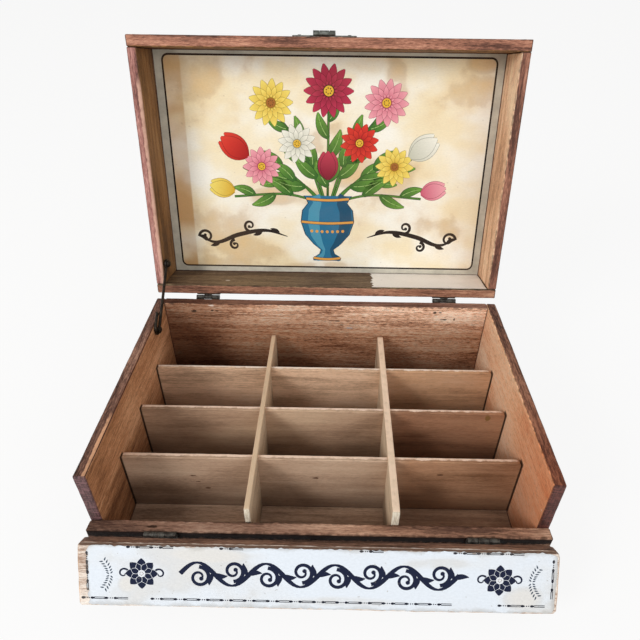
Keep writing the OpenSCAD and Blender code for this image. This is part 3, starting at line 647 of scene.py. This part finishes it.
def build_lid():
    low, top = LID_LOW, LID_TOP
    front, back = -HALF_D + LID_FRONT_T, HALF_D - LID_BACK_T
    left, right = -HALF_W + LID_SIDE_T, HALF_W - LID_SIDE_T

    def oak(name, seed, bare, inner_side, mouth, crack=0.5, **more):
        """mouth is a tint of the edge that meets the body when the lid is shut."""
        return dict(name=name, outer=STAIN_RED, seed=seed, inner=bare, inner_side=inner_side,
                    shades=[(ACROSS, 1.2 - LID_FRAME / 2, 0.4 - LID_FRAME / 2, mouth)],
                    edge_darkening=[(inner_side, 1, crack, "1c120c")], **more)

    board("lid_front_board", "lid_front", (-HALF_W, -HALF_D, low), (HALF_W, front, top), X, Z,
          oak("lid_front_oak", 6, LID_BARE_DARK, 1, (1.14, 1.15, 1.14)),
          "lid", radius=1.1, wear=0.8, seed=6)
    board("lid_back_board", "lid_back", (-HALF_W, back, low), (HALF_W, HALF_D, top), X, Z,
          oak("lid_back_oak", 7, LID_BARE_BACK, -1, (1.0, 1.06, 1.0), crack=0.9,
              nicks=[((-83.0, -6.0, -3.8), (2.6, 0.9, 1.5), "e8e2da")]),
          "lid", radius=1.0, seed=7)
    board("lid_left_board", "lid_left", (-HALF_W, front, low), (left, back, top), Y, Z,
          oak("lid_left_oak", 8, LID_BARE_DARK, 1, (1.0, 1.0, 1.3),
              worn=[(-60, 100, 2.6, -1, "d8ac96")]),
          "lid", radius=1.0, seed=8)
    board("lid_right_board", "lid_right", (right, front, low), (HALF_W, back, top), Y, Z,
          oak("lid_right_oak", 9, LID_BARE, -1, (1.0, 1.0, 1.0)), "lid", radius=1.0, seed=9)
    board("lid_panel_board", "lid_panel", (-HALF_W, -HALF_D, top), (HALF_W, HALF_D, top + LID_PANEL_T),
          X, Y, dict(name="lid_panel_oak", outer=STAIN, seed=10), "lid", seed=10)


# Papers, with u across the box and v up the face as it is seen

def on_lid_panel(u, v, lift):
    """v is measured from the outer face of the lid's back board."""
    return (u, HALF_D - v, LID_TOP - lift)


def on_lid_back(u, v, lift):
    return (u, HALF_D - LID_BACK_T - lift, LID_LOW + v)


def on_flap(u, v, lift):
    """v is measured from the flap's free edge."""
    return (u, -HALF_D + FLAP_T + lift, BODY_H - v)


# Sheets as their lowest and highest (u, v), and the lid's printed field as left, right, bottom, top
LID_SIDE = HALF_W - LID_SIDE_T - 0.4
LID_SHEET = ((-LID_SIDE, LID_BACK_T + 0.4), (LID_SIDE, 2 * HALF_D - LID_FRONT_T - 0.4))
STRIP_SHEET = ((36.6, 0.6), (132.6, 35.1))
FLAP_SHEET = ((-135.4, 0.6), (138.6, 38.8))
LID_FIELD = (-126.3, 126.8, 12.9, 179.0)
LID_CORNER = 4.5


def outside_field(s, u, v, left, right, bottom, top, corner):
    """0 within a field with rounded corners, and 1 outside it."""
    beyond = []
    for value, first, last in ((u, left, right), (v, bottom, top)):
        apart = s.math("ABSOLUTE", s.minus(value, (first + last) / 2))
        past = s.math("MAXIMUM", s.minus(apart, (last - first) / 2 - corner), 0.0)
        beyond.append(s.times(past, past))
    return s.step(s.math("SQRT", s.plus(*beyond)), corner - 0.3, corner + 0.3)


def paper_material(name, base, stain, dark, sheet, speckle, stains, edge_darkening, margin=None, tan_edge=None,
                   clouds=(), wash=None):
    """Aged paper. Without a base colour it is the ink of a print, which brings its own colours.

    margin is (left, right, bottom, top, corner, colour) of the printed field, with that colour outside.
    tan_edge is (start, stop) across the paper of a stained upright band.
    clouds are (u, v, reach across, reach up) of soft damp stains.
    wash is the colour that broad parts of the sheet have yellowed to."""
    s = Shader(name)
    place = s.attribute("sheet")
    u, v, flat = s.split(place)
    colour = linear(base) if base else s.attribute("ink", "Color")
    edge = s.noise(place, (0.06, 0.06, 0), 4, 0.6)
    fibre = s.noise(place, (0.5, 0.9, 0), 4, 0.65)
    if wash:
        yellowed = s.step(s.noise(place, (0.017, 0.024, 0), 3), 0.36, 0.62)
        colour = s.cover(colour, s.times(yellowed, 0.75), wash)
    level = s.scaled(edge, 0.22, s.noise(place, (0.011, 0.015, 0), 3, 0.55))
    if clouds:
        level = s.minus(level, 0.055)
    for across, up, wide, tall in clouds:
        far = s.swing(edge, 1.2, s.distance(place, (across, up, 0), (wide, tall, 1)))
        level = s.plus(level, s.step(far, 0.4, 1.3, 0.17, 0.0))
    tide = s.times(s.step(level, 0.60, 0.65), s.step(level, 0.65, 0.76, 1.0, 0.0))
    strength = stains * (1.0 if base else 0.45)
    colour = s.cover(colour, s.times(s.step(level, 0.50, 0.80), 1.1 * strength), stain)
    colour = s.cover(colour, s.times(tide, 0.22 * strength), dark)
    if tan_edge:
        patch = s.step(s.noise(place, (0.02, 0.028, 0), 2), 0.4, 0.62, 0.25, 0.85)
        colour = s.cover(colour, s.times(s.between(u, *tan_edge, 1.5), patch), "cf9d62")
    if margin:
        shade_colour = linear(margin[-1])
        tone = s.ramp(edge, (0.3, tuple(c * 0.7 for c in shade_colour)), (0.6, shade_colour))
        colour = s.mix(s.times(outside_field(s, u, v, *margin[:-1]), 0.97), colour, tone)
    near = [s.math("MINIMUM", s.minus(value, sheet[0][k]), s.minus(sheet[1][k], value))
            for k, value in enumerate((u, v))]
    reach = s.math("MAXIMUM", s.times(s.minus(edge, 0.3), 16.0), 0.5)
    darkening = s.step(s.math("MINIMUM", *near), 0.0, reach, 1.0, 0.0)
    colour = s.cover(colour, s.times(darkening, edge_darkening), dark)
    mark = s.step(s.noise(place, (0.35, 0.35, 0), 2), 0.69, 0.76)
    colour = s.cover(colour, s.times(mark, speckle), dark)
    colour = s.dim(colour, s.scaled(fibre, 0.22, 0.89))
    crease = s.noise(place, (0.015, 0.09, 0), 3)
    s.bump(s.scaled(crease, 4.0, fibre), 0.1, 0.5)
    return s.finish(colour, 0.62, 0.25)


def torn_sheet(name, node, sheet, tear, body, material, place, pitch, corner=0.0):
    """A thin sheet whose outline wanders by tear = (left, right, bottom, top), in millimetres.

    corner rounds its four corners."""
    low, high = Vector(sheet[0]), Vector(sheet[1])
    middle, half = (low + high) / 2, (high - low) / 2
    count = [max(2, round((high[k] - low[k]) / pitch)) for k in (0, 1)]
    points, places = [], []

    def ragged(value, number):
        near = 0.6 * noise.noise(Vector((value * 0.06, number, 3)))
        fine = 0.6 * noise.noise(Vector((value * 0.35, number, 9)))
        return max(0.0, 0.5 + near + fine)

    for j in range(count[1] + 1):
        for i in range(count[0] + 1):
            fu, fv = i / count[0], j / count[1]
            u = low.x + (high.x - low.x) * fu
            v = low.y + (high.y - low.y) * fv
            du = tear[0] * ragged(v, 1) * (1 - fu) ** 8 - tear[1] * ragged(v, 2) * fu ** 8
            dv = tear[2] * ragged(u, 3) * (1 - fv) ** 4 - tear[3] * ragged(u, 4) * fv ** 4
            p = Vector((u + du, v + dv)) - middle
            out = Vector([max(0.0, abs(p[k]) - half[k] + corner) for k in (0, 1)])
            if min(out) > 0:
                shrink = max(out) / out.length
                p = Vector([p[k] - math.copysign(out[k] * (1 - shrink), p[k]) for k in (0, 1)])
            p += middle
            points.append(place(p.x, p.y, PAPER_T))
            places.append((p.x, p.y, 0.0))
    row = count[0] + 1
    faces = [(j * row + i, j * row + i + 1, (j + 1) * row + i + 1, (j + 1) * row + i)
             for j in range(count[1]) for i in range(count[0])]
    made = add_piece(name, points, faces, material, "sheet", places, body, node)
    back = made.modifiers.new("thickness", "SOLIDIFY")
    back.thickness = 0.25 * PAPER_T * MM
    back.offset = 0.0


# Prints

PRINT_LIFT = 0.05
LAYER_STEP = 0.006
BLADE_STEPS = 9
CURL_STEPS = 26
CURL_INNER = 0.25

BLACK = "231a17"
NAVY = "051232"
LEAF_INK = "3f4b5a"
BORDER_INK = "0c1226"

# Flower colours as (root, tip, outline)
CRIMSON = ("7c1228", "c23352", "4e0a18")
PINK = ("cf5f76", "f3a9b2", "9a3a4e")
YELLOW = ("d9a92c", "f8e272", "9a7420")
WHITE = ("c9c8b4", "f7f4e6", "8a8672")
SCARLET = ("a81414", "e23c2c", "6e0c0c")
GREEN = ("2f6324", "6fa23e", "1d3c18")
NAVY_BLOOM = (NAVY, NAVY, "e4e8ec")

URN_PROFILE = [(9, 0), (9.5, 2), (5, 5), (4, 8), (9, 12), (15, 19), (18, 28), (17, 36), (13, 41),
               (14.5, 44), (16, 46)]


def polar(angle, length=1.0):
    return Vector((math.cos(angle), math.sin(angle))) * length


class Print:
    """Flat inked shapes on one paper, gathered into one thin piece of many layers."""

    def __init__(self):
        self.points, self.faces, self.inks = [], [], []

    def strip(self, path, widths, inks, layer):
        """A ribbon along path. widths and inks are given at each of its points."""
        first = len(self.points)
        last = len(path) - 1
        for i, (p, width, ink) in enumerate(zip(path, widths, inks)):
            ahead = path[min(i + 1, last)] - path[max(i - 1, 0)]
            side = Vector((-ahead.y, ahead.x)).normalized() * width / 2
            for q in (p + side, p - side):
                self.points.append((q.x, q.y, layer))
                self.inks.append(ink)
        for i in range(last):
            k = first + 2 * i
            self.faces.append((k, k + 1, k + 3, k + 2))

    def band(self, path, widths, ink, layer):
        """A ribbon of one ink."""
        self.strip(path, widths, [linear(ink)] * len(path), layer)

    def line(self, path, width, ink, layer, taper=0.0):
        count = len(path) - 1
        self.band(path, [width * (1 - taper * (i / count) ** 1.5) for i in range(count + 1)], ink, layer)

    def disc(self, centre, radius, ink, layer, sides=20):
        first = len(self.points)
        for i in range(sides):
            a = 2 * math.pi * i / sides
            self.points.append((centre[0] + radius * math.cos(a), centre[1] + radius * math.sin(a), layer))
            self.inks.append(linear(ink))
        self.faces.append(tuple(range(first, first + sides)))

    def blade(self, root, angle, length, width, shades, layer, bend=0.0, fullness=0.75, outline=0.7):
        """A petal or leaf that grows from root, with a darker outline beneath it."""
        root_ink, tip_ink, line_ink = shades
        path, point, facing = [], Vector(root), angle
        for i in range(BLADE_STEPS + 1):
            path.append(point.copy())
            facing += bend / BLADE_STEPS
            point += polar(facing) * length / BLADE_STEPS
        along = [i / BLADE_STEPS for i in range(BLADE_STEPS + 1)]
        swell = [math.sin(math.pi * min(0.985, max(0.03, t)) ** fullness) ** 0.8 for t in along]
        self.band(path, [width * w + outline for w in swell], line_ink, layer)
        inks = [tuple(a + (b - a) * t for a, b in zip(linear(root_ink), linear(tip_ink))) for t in along]
        self.strip(path, [width * w for w in swell], inks, layer + 1)
        return path

    def piece(self, name, node, body, material, place):
        points = [place(u, v, PAPER_T + PRINT_LIFT + LAYER_STEP * layer) for u, v, layer in self.points]
        places = [(u, v, 0) for u, v, layer in self.points]
        made = add_piece(name, points, self.faces, material, "sheet", places, body, node, stands_in=False)
        data = made.data.attributes.new("ink", "FLOAT_COLOR", "POINT")
        data.data.foreach_set("color", np.array(self.inks, float).ravel())


def smooth_path(points, steps):
    """A smooth curve through a few points."""
    p = [Vector(q) for q in points]
    p = [p[0] * 2 - p[1]] + p + [p[-1] * 2 - p[-2]]
    path = []
    for i in range(1, len(p) - 2):
        for k in range(steps):
            t = k / steps
            path.append(0.5 * (2 * p[i] + (p[i + 1] - p[i - 1]) * t
                               + (2 * p[i - 1] - 5 * p[i] + 4 * p[i + 1] - p[i + 2]) * t ** 2
                               + (3 * p[i] - p[i - 1] - 3 * p[i + 1] + p[i + 2]) * t ** 3))
    return path + [p[-2]]


def spiral(centre, radius, start, turns):
    """A curl that winds in towards its centre. Negative turns wind clockwise."""
    path = []
    for i in range(CURL_STEPS + 1):
        t = i / CURL_STEPS
        path.append(Vector(centre) + polar(start + turns * 2 * math.pi * t,
                                           radius * (1 - (1 - CURL_INNER) * t)))
    return path


def rounded_frame(left, right, bottom, top, radius):
    path = []
    for cx, cy, start in ((right - radius, top - radius, 0), (left + radius, top - radius, 90),
                          (left + radius, bottom + radius, 180), (right - radius, bottom + radius, 270)):
        path += [Vector((cx, cy)) + polar(math.radians(start + 15 * k), radius) for k in range(7)]
    return path + [path[0], path[1]]


def blossom(art, centre, radius, count, shades, heart, layer, turn=0.0, rings=2):
    """A round flower of plain petals."""
    centre = Vector(centre)
    for ring in range(rings):
        reach = radius * (1 - 0.36 * ring)
        width = 2 * math.pi * reach / count * 0.72
        for i in range(count):
            a = turn + 2 * math.pi * (i + 0.5 * ring) / count
            art.blade(centre + polar(a, 0.12 * radius), a, reach * 0.9, width, shades,
                      layer + 4 * ring + 2 * (i % 2), fullness=1.25, outline=0.5)
    top = layer + 4 * rings
    art.disc(centre, radius * 0.24, shades[2], top + 1)
    art.disc(centre, radius * 0.20, heart, top + 2)
    for i in range(7):
        spot = centre + polar(2 * math.pi * i / 7, radius * 0.11)
        art.disc(spot, radius * 0.03, "6a4a1a", top + 3, sides=8)


def tulip(art, base, angle, size, shades, layer):
    for lean, wide, step in ((0.42, 0.46, 0), (-0.42, 0.46, 0), (0.0, 0.56, 2)):
        art.blade(base, angle + lean, size, size * wide, shades, layer + step, bend=-1.1 * lean,
                  fullness=0.9, outline=0.6)


def leaf(art, root, angle, length, width, layer, bend):
    path = art.blade(root, angle, length, width, GREEN, layer, bend)
    art.line(path[1:-1], 0.5, "a9c877", layer + 2, 0.6)
    for i in range(2, 8, 2):
        along = (path[i + 1] - path[i - 1]).normalized()
        for side in (-1, 1):
            out = Vector((along.x - side * along.y, along.y + side * along.x)).normalized()
            art.line([path[i], path[i] + out * width * 0.26], 0.28, GREEN[2], layer + 2, 0.5)


def urn(art, base, height, layer):
    """A blue garden urn with orange bands."""
    scale = height / URN_PROFILE[-1][1]
    path = [Vector((base[0], base[1] + h * scale)) for w, h in URN_PROFILE]
    widths = [2 * w * scale for w, h in URN_PROFILE]
    art.band(path, [w + 1.4 for w in widths], "12303f", layer)
    art.band(path, widths, "226f93", layer + 1)
    for shift, share, ink in ((-0.27, 0.22, "4b95b0"), (0.36, 0.24, "154e6b")):
        shifted = [p + Vector((shift * w, 0)) for p, w in zip(path, widths)]
        art.band(shifted, [share * w for w in widths], ink, layer + 2)
    for k in (1, 6, 9):
        hoop = [path[k] + Vector((widths[k] * (t / 8 - 0.5), -1.2 * math.sin(math.pi * t / 8)))
                for t in range(9)]
        art.line(hoop, 2.6, "12303f", layer + 3)
        art.line(hoop, 1.9, "e2a04c", layer + 4)
    for k in range(-3, 4):
        art.disc((base[0] + k * 4.4, base[1] + 21.5 * scale - 0.5 * (9 - k * k) / 9), 1.3, "e2a04c",
                 layer + 4, sides=10)


def flourish(art, centre, side, reach, ink, layer, width):
    """A plain pair of curls with a leaf, as printers use between blocks of text."""
    u, v = centre

    def mirrored(angle):
        return angle if side > 0 else math.pi - angle

    stem = smooth_path([(u, v), (u + side * reach * 0.25, v + 5), (u + side * reach * 0.55, v + 1),
                        (u + side * reach * 0.8, v - 6), (u + side * reach, v - 1)], 8)
    count = len(stem) - 1
    art.band(stem, [0.5 + width * math.sin(math.pi * i / count) for i in range(count + 1)], ink, layer)
    for across, up, radius, first, turns in ((reach - 6.0, -1.0, 6.0, 0.0, 1.15),
                                             (reach * 0.42, 9.0, 5.0, -math.pi / 2, 1.1),
                                             (reach * 0.60, -8.0, 4.4, math.pi / 2, -1.1)):
        curl = spiral((u + side * across, v + up), radius, mirrored(first), side * turns)
        art.line(curl, width * 0.75, ink, layer + 1, 0.65)
        art.disc(curl[-1], width * 0.42, ink, layer + 2, sides=12)
    for t, lean in ((0.12, 0.9), (0.3, -0.9), (0.74, -0.7), (0.9, 0.9)):
        art.blade(stem[int(t * count)], mirrored(lean), 9.0, 3.6, (ink, ink, ink), layer + 1,
                  bend=-0.8 * lean * side, outline=0.0)


def draw_lid_label():
    """A garden urn of mixed flowers inside a plain keyline border."""
    art = Print()
    art.line(rounded_frame(*LID_FIELD, LID_CORNER), 1.4, BLACK, 0)
    urn(art, (0, 19), 56, 44)
    # Each head is u, v, size, petals, colours and rings of petals. Those without rings are tulips.
    heads = [(0, 155, 19, 14, CRIMSON, 3), (-45, 146, 17, 13, YELLOW, 3), (45, 147, 17, 13, PINK, 3),
             (-74, 112, 16, 0, SCARLET, 0), (75, 113, 16, 0, WHITE, 0), (-25, 116, 15, 12, WHITE, 2),
             (25, 117, 15, 12, SCARLET, 2), (-54, 98, 15, 12, PINK, 2), (54, 99, 15, 12, YELLOW, 2),
             (0, 98, 14, 0, CRIMSON, 0), (-86, 80, 13, 0, YELLOW, 0), (86, 80, 13, 0, PINK, 0)]
    for n, (u, v, size, count, shades, rings) in enumerate(heads):
        stem = smooth_path([(u * 0.08, 70), (u * 0.42, 72 + (v - 72) * 0.5), (u * 0.9, v - size * 0.5)], 10)
        art.line(stem, 2.0, "1d3c18", 2)
        art.line(stem, 1.2, "4f8432", 3)
        for k, t in enumerate((0.4, 0.6, 0.8)):
            i = int(t * (len(stem) - 1))
            along = stem[i + 1] - stem[i - 1]
            side = 1 if (n + k) % 2 else -1
            angle = math.atan2(along.y, along.x) + 0.75 * side
            leaf(art, stem[i], angle, 24 - 3 * k + n % 3, 9.0 - k, 4 + 3 * ((n + k) % 3), -0.6 * side)
    for u, v, size, count, shades, rings in heads:
        if rings:
            heart = "a8662a" if shades is YELLOW else "e8b838"
            blossom(art, (u, v), size, count, shades, heart, 16, turn=0.3 * u, rings=rings)
        else:
            angle = math.atan2(v - 60, u) if u else math.pi / 2
            tulip(art, Vector((u, v)) - polar(angle) * size * 0.7, angle, size * 1.6, shades, 16)
    for side in (-1, 1):
        flourish(art, (side * 34, 40), side, 76, BLACK, 4, 3.2)
    field = (LID_FIELD[::2], LID_FIELD[1::2])
    ink = paper_material("lid_print_ink", None, "c79a68", "8a6a4a", field, 0.1, 0.12, 0.0)
    art.piece("lid_label_print", "lid_label", "lid", ink, on_lid_panel)


def sprig(art, u, side):
    """Two arms of small leaves that meet in a point, side being the way that it points."""
    for arm in (1, -1):
        stem = smooth_path([(u + side * 0.6, 20 + 0.4 * arm), (u - side * 0.1, 20 + 3.4 * arm),
                            (u - side * 1.6, 20 + 6.6 * arm), (u - side * 3.8, 20 + 9.6 * arm)], 2)
        for i, here in enumerate(stem[:-1]):
            along = stem[i + 1] - here
            for lean in (1.0, -1.0):
                angle = math.atan2(along.y, along.x) + lean
                art.blade(here + polar(angle) * 0.5, angle, 1.9 + 0.1 * i, 0.85, (LEAF_INK,) * 3, 1,
                          outline=0.0)


def border_row(art, start, stop, count, kept):
    """A row of hollow bars with dashes and dots between them, of which only the kept ones are left."""
    start, stop = Vector(start), Vector(stop)
    step = (stop - start) / count
    along = step.normalized()
    side = Vector((-along.y, along.x))
    heading = math.atan2(along.y, along.x)
    for k in sorted(kept):
        here = start + step * k
        for shift in (-0.45, 0.45):
            art.line([here + along * 3.6 + side * shift, here + step - along * 3.6 + side * shift],
                     0.45, BORDER_INK, 0)
        for far in (1.4, -4.0):
            art.blade(here + along * far, heading, 2.6, 1.5, (BORDER_INK,) * 3, 1, outline=0.0)
        for far in (-0.6, 0.6):
            art.disc(here + along * far, 0.4, BORDER_INK, 1, sides=8)


def draw_flap_border(art):
    """What is left of the dashed border, and a sprig at each end."""
    left, right, bottom, top = -134.2, 136.0, 5.4, 37.2
    bars = 20
    border_row(art, (left, bottom), (right, bottom), bars, set(range(bars)) - {2, 16, 17})
    border_row(art, (left, top), (right, top), bars, {2, 3, 6, 12, 16, 17, 18})
    for u in (left, right):
        border_row(art, (u, top - 7), (u, bottom + 1), 2, {0, 1})
    sprig(art, -121.6, 1)
    sprig(art, 124.6, -1)


def draw_rosette(art, u, v):
    blossom(art, (u, v), 9.2, 8, NAVY_BLOOM, NAVY_BLOOM[2], 4)
    for side in (-1, 1):
        curl = spiral((u + side * 10.5, v), 3.4, math.pi if side > 0 else 0, -side * 1.0)
        art.line(curl, 1.2, NAVY, 2, 0.5)


def draw_scroll(art, start, middle):
    """A waving stem with a curl and two leaves in each of its bends."""
    period, height, pace, count = 40.0, 7.0, 2.0, 82
    turns = [2 * math.pi * pace * k / period for k in range(count)]
    wave = [Vector((start + pace * k, middle + height * math.sin(a))) for k, a in enumerate(turns)]
    art.band(wave, [1.3 + 1.5 * abs(math.cos(a)) for a in turns], NAVY, 3)
    for k in range(8):
        u, side = start + period / 4 + period / 2 * k, 1 if k % 2 == 0 else -1
        curl = spiral((u + 1, middle - side * 2.0), 6.4, side * math.pi * 0.5, -side * 1.35)
        art.line(curl, 2.3, NAVY, 4, 0.55)
        art.disc(curl[-1], 1.3, NAVY, 5, sides=12)
        for lean, length in ((0.55, 9.0), (2.3, 7.5)):
            art.blade((u + 9, middle), side * -lean, length, 3.4, (NAVY,) * 3, 4, bend=side * 0.8,
                      outline=0.0)


def draw_flap_label():
    art = Print()
    draw_flap_border(art)
    for u in (-102.5, 105.5):
        draw_rosette(art, u, 21)
    draw_scroll(art, -80, 21.5)
    ink = paper_material("flap_print_ink", None, "8f97ab", "8d8579", FLAP_SHEET, 0.25, 0.0, 0.25)
    art.piece("flap_label_print", "flap_label", "flap", ink, on_flap)


def build_papers():
    left, right, bottom, top = LID_FIELD
    rim = 0.6
    margin = (left - rim, right + rim, bottom - rim, top + rim, LID_CORNER + rim, "cdc8b8")
    damp = [(48, 93, 48, 15), (-30, 74, 34, 9), (52, 158, 11, 24), (118, 176, 13, 7), (0, 14, 30, 6)]
    lid_paper = paper_material("lid_paper", "fdf9ec", "dcb06a", "8a6238", LID_SHEET, 0.2, 0.66, 0.0,
                               margin, (left, left + 12.4), damp, "f6e2b4")
    torn_sheet("lid_label_paper", "lid_label", LID_SHEET, (0.2, 0.2, 0.2, 0.2), "lid", lid_paper,
               on_lid_panel, 3.0)
    strip_paper = paper_material("strip_paper", "fbf6f0", "d8ccb8", "8d8070", STRIP_SHEET, 0.3, 0.3, 0.1)
    torn_sheet("lid_strip_paper", "lid_paper_strip", STRIP_SHEET, (4.0, 0.6, 0.5, 0.3), "lid",
               strip_paper, on_lid_back, 1.5)
    smudges = [(-111, 15, 5, 5), (-60, 33, 26, 4), (20, 6, 40, 4), (70, 30, 22, 5), (118, 10, 12, 7)]
    flap_paper = paper_material("flap_paper", "e1e8f0", "dccfba", "8f8573", FLAP_SHEET, 0.45, 0.42, 0.4,
                                clouds=smudges)
    torn_sheet("flap_label_paper", "flap_label", FLAP_SHEET, (2.6, 1.0, 1.0, 1.9), "flap", flap_paper,
               on_flap, 1.0, corner=4.2)
    draw_lid_label()
    draw_flap_label()


# Metal

def metal_material(name, base, dark, rust, rust_amount, roughness, metallic):
    s = Shader(name)
    place = s.object_mm()
    cloud = s.noise(place, (0.35, 0.35, 0.35), 4, 0.6)
    fine = s.noise(place, (2.2, 2.2, 2.2), 3, 0.6)
    colour = s.mix(s.step(cloud, 0.35, 0.65), linear(dark), linear(base))
    colour = s.cover(colour, s.times(s.step(fine, 0.52, 0.68), rust_amount), rust)
    s.bump(s.plus(fine, cloud), 0.08, 0.6)
    return s.finish(colour, s.scaled(cloud, 0.3, roughness - 0.15), 0.5, metallic)


def dress_hardware():
    """Gives the CAD's own metal nodes their materials."""
    chosen = {
        "hinge_iron": metal_material("old_iron", "5f5e58", "33312e", "6a5344", 0.6, 0.55, 0.75),
        "nail_iron": metal_material("nail_iron", "5a5450", "2c2623", "5c3f30", 0.6, 0.6, 0.6),
        "hasp_steel": metal_material("dull_steel", "8d908a", "5c5f5a", "6a5a48", 0.35, 0.42, 0.9),
        "stay_bronze": metal_material("bronzed_wire", "3a3024", "17120d", "33291c", 0.4, 0.42, 0.6)}
    for node, slot in SLOTS.items():
        if slot in chosen:
            mesh = frame["nodes"][node].data
            mesh.materials.clear()
            mesh.materials.append(chosen[slot])


# Stage, lights and camera

def build_stage():
    """A pale floor that is nearly white for the camera and in reflections, and keeps its shadow."""
    size = 6.0
    mesh = bpy.data.meshes.new("studio_floor")
    mesh.from_pydata([(-size, -size, 0), (size, -size, 0), (size, size, 0), (-size, size, 0)], [],
                     [(0, 1, 2, 3)])
    floor = bpy.data.objects.new("studio_floor", mesh)
    bpy.context.scene.collection.objects.link(floor)
    s = Shader("pale_floor")
    s.finish(linear("f4f2ee"), 0.9, 0.1)
    glow = s.node("ShaderNodeEmission")
    glow.inputs["Color"].default_value = (1, 1, 1, 1)
    glow.inputs["Strength"].default_value = 1.0
    path = s.node("ShaderNodeLightPath")
    seen = s.math("MAXIMUM", path.outputs["Is Camera Ray"], path.outputs["Is Glossy Ray"])
    blend = s.node("ShaderNodeMixShader")
    s.link(s.times(seen, 0.88), blend.inputs[0])
    s.link(s.bsdf.outputs[0], blend.inputs[1])
    s.link(glow.outputs[0], blend.inputs[2])
    s.link(blend.outputs[0], s.output.inputs["Surface"])
    mesh.materials.append(s.material)


def area_light(name, place, size, power):
    """A soft square lamp that points at the middle of the box."""
    light = bpy.data.lights.new(name, "AREA")
    light.size = size
    light.energy = power
    made = bpy.data.objects.new(name, light)
    made.location = place
    made.rotation_euler = (Vector((0, 0, 0.1)) - Vector(place)).to_track_quat("-Z", "Y").to_euler()
    bpy.context.scene.collection.objects.link(made)


def build_world(strength):
    """Even light from all round, with plain white where the camera looks past the box."""
    world = bpy.data.worlds.new("studio")
    bpy.context.scene.world = world
    world.use_nodes = True
    tree = world.node_tree
    tree.nodes.clear()
    output = tree.nodes.new("ShaderNodeOutputWorld")
    path = tree.nodes.new("ShaderNodeLightPath")
    blend = tree.nodes.new("ShaderNodeMixShader")
    tree.links.new(path.outputs["Is Camera Ray"], blend.inputs[0])
    for socket, level in ((1, strength), (2, 1.0)):
        background = tree.nodes.new("ShaderNodeBackground")
        background.inputs["Color"].default_value = (1, 1, 1, 1)
        background.inputs["Strength"].default_value = level
        tree.links.new(background.outputs[0], blend.inputs[socket])
    tree.links.new(blend.outputs[0], output.inputs[0])


def build_lights():
    build_world(0.45)
    area_light("key", (-1.3, -1.2, 1.15), 0.7, 21)
    area_light("fill", (1.0, -1.4, 0.85), 1.2, 9)


# The camera's place in millimetres, its turn, and the frame it was matched in, in pixels
CAMERA_PLACE = (6.73, -282.01, 343.14)
CAMERA_TILT = -36.5
CAMERA_TURN = (-0.0125, -0.0097, 0.0152)
FOCAL_PX = 548.83
MIDDLE_PX = (330.0, 330.73)
FRAME_PX = 640.0


def build_camera():
    data = bpy.data.cameras.new("camera")
    data.sensor_width = 36.0
    data.lens = FOCAL_PX / FRAME_PX * data.sensor_width
    data.shift_x = (FRAME_PX / 2 - MIDDLE_PX[0]) / FRAME_PX
    data.shift_y = (MIDDLE_PX[1] - FRAME_PX / 2) / FRAME_PX
    data.clip_start = 0.01
    camera = bpy.data.objects.new("camera", data)
    bpy.context.scene.collection.objects.link(camera)
    turn = Vector(CAMERA_TURN)
    small = Matrix.Rotation(turn.length, 3, turn.normalized())
    facing = small @ Matrix.Rotation(math.radians(CAMERA_TILT), 3, "X")
    right, forward, up = facing.col
    placed = Matrix((right, up, -forward)).transposed().to_4x4()
    placed.translation = Vector(CAMERA_PLACE) * MM
    camera.matrix_world = placed
    bpy.context.scene.camera = camera


build_camera()
build_body()
build_dividers()
build_flap()
build_lid()
build_papers()
dress_hardware()
build_stage()
build_lights()
bpy.context.scene.view_settings.view_transform = "Standard"
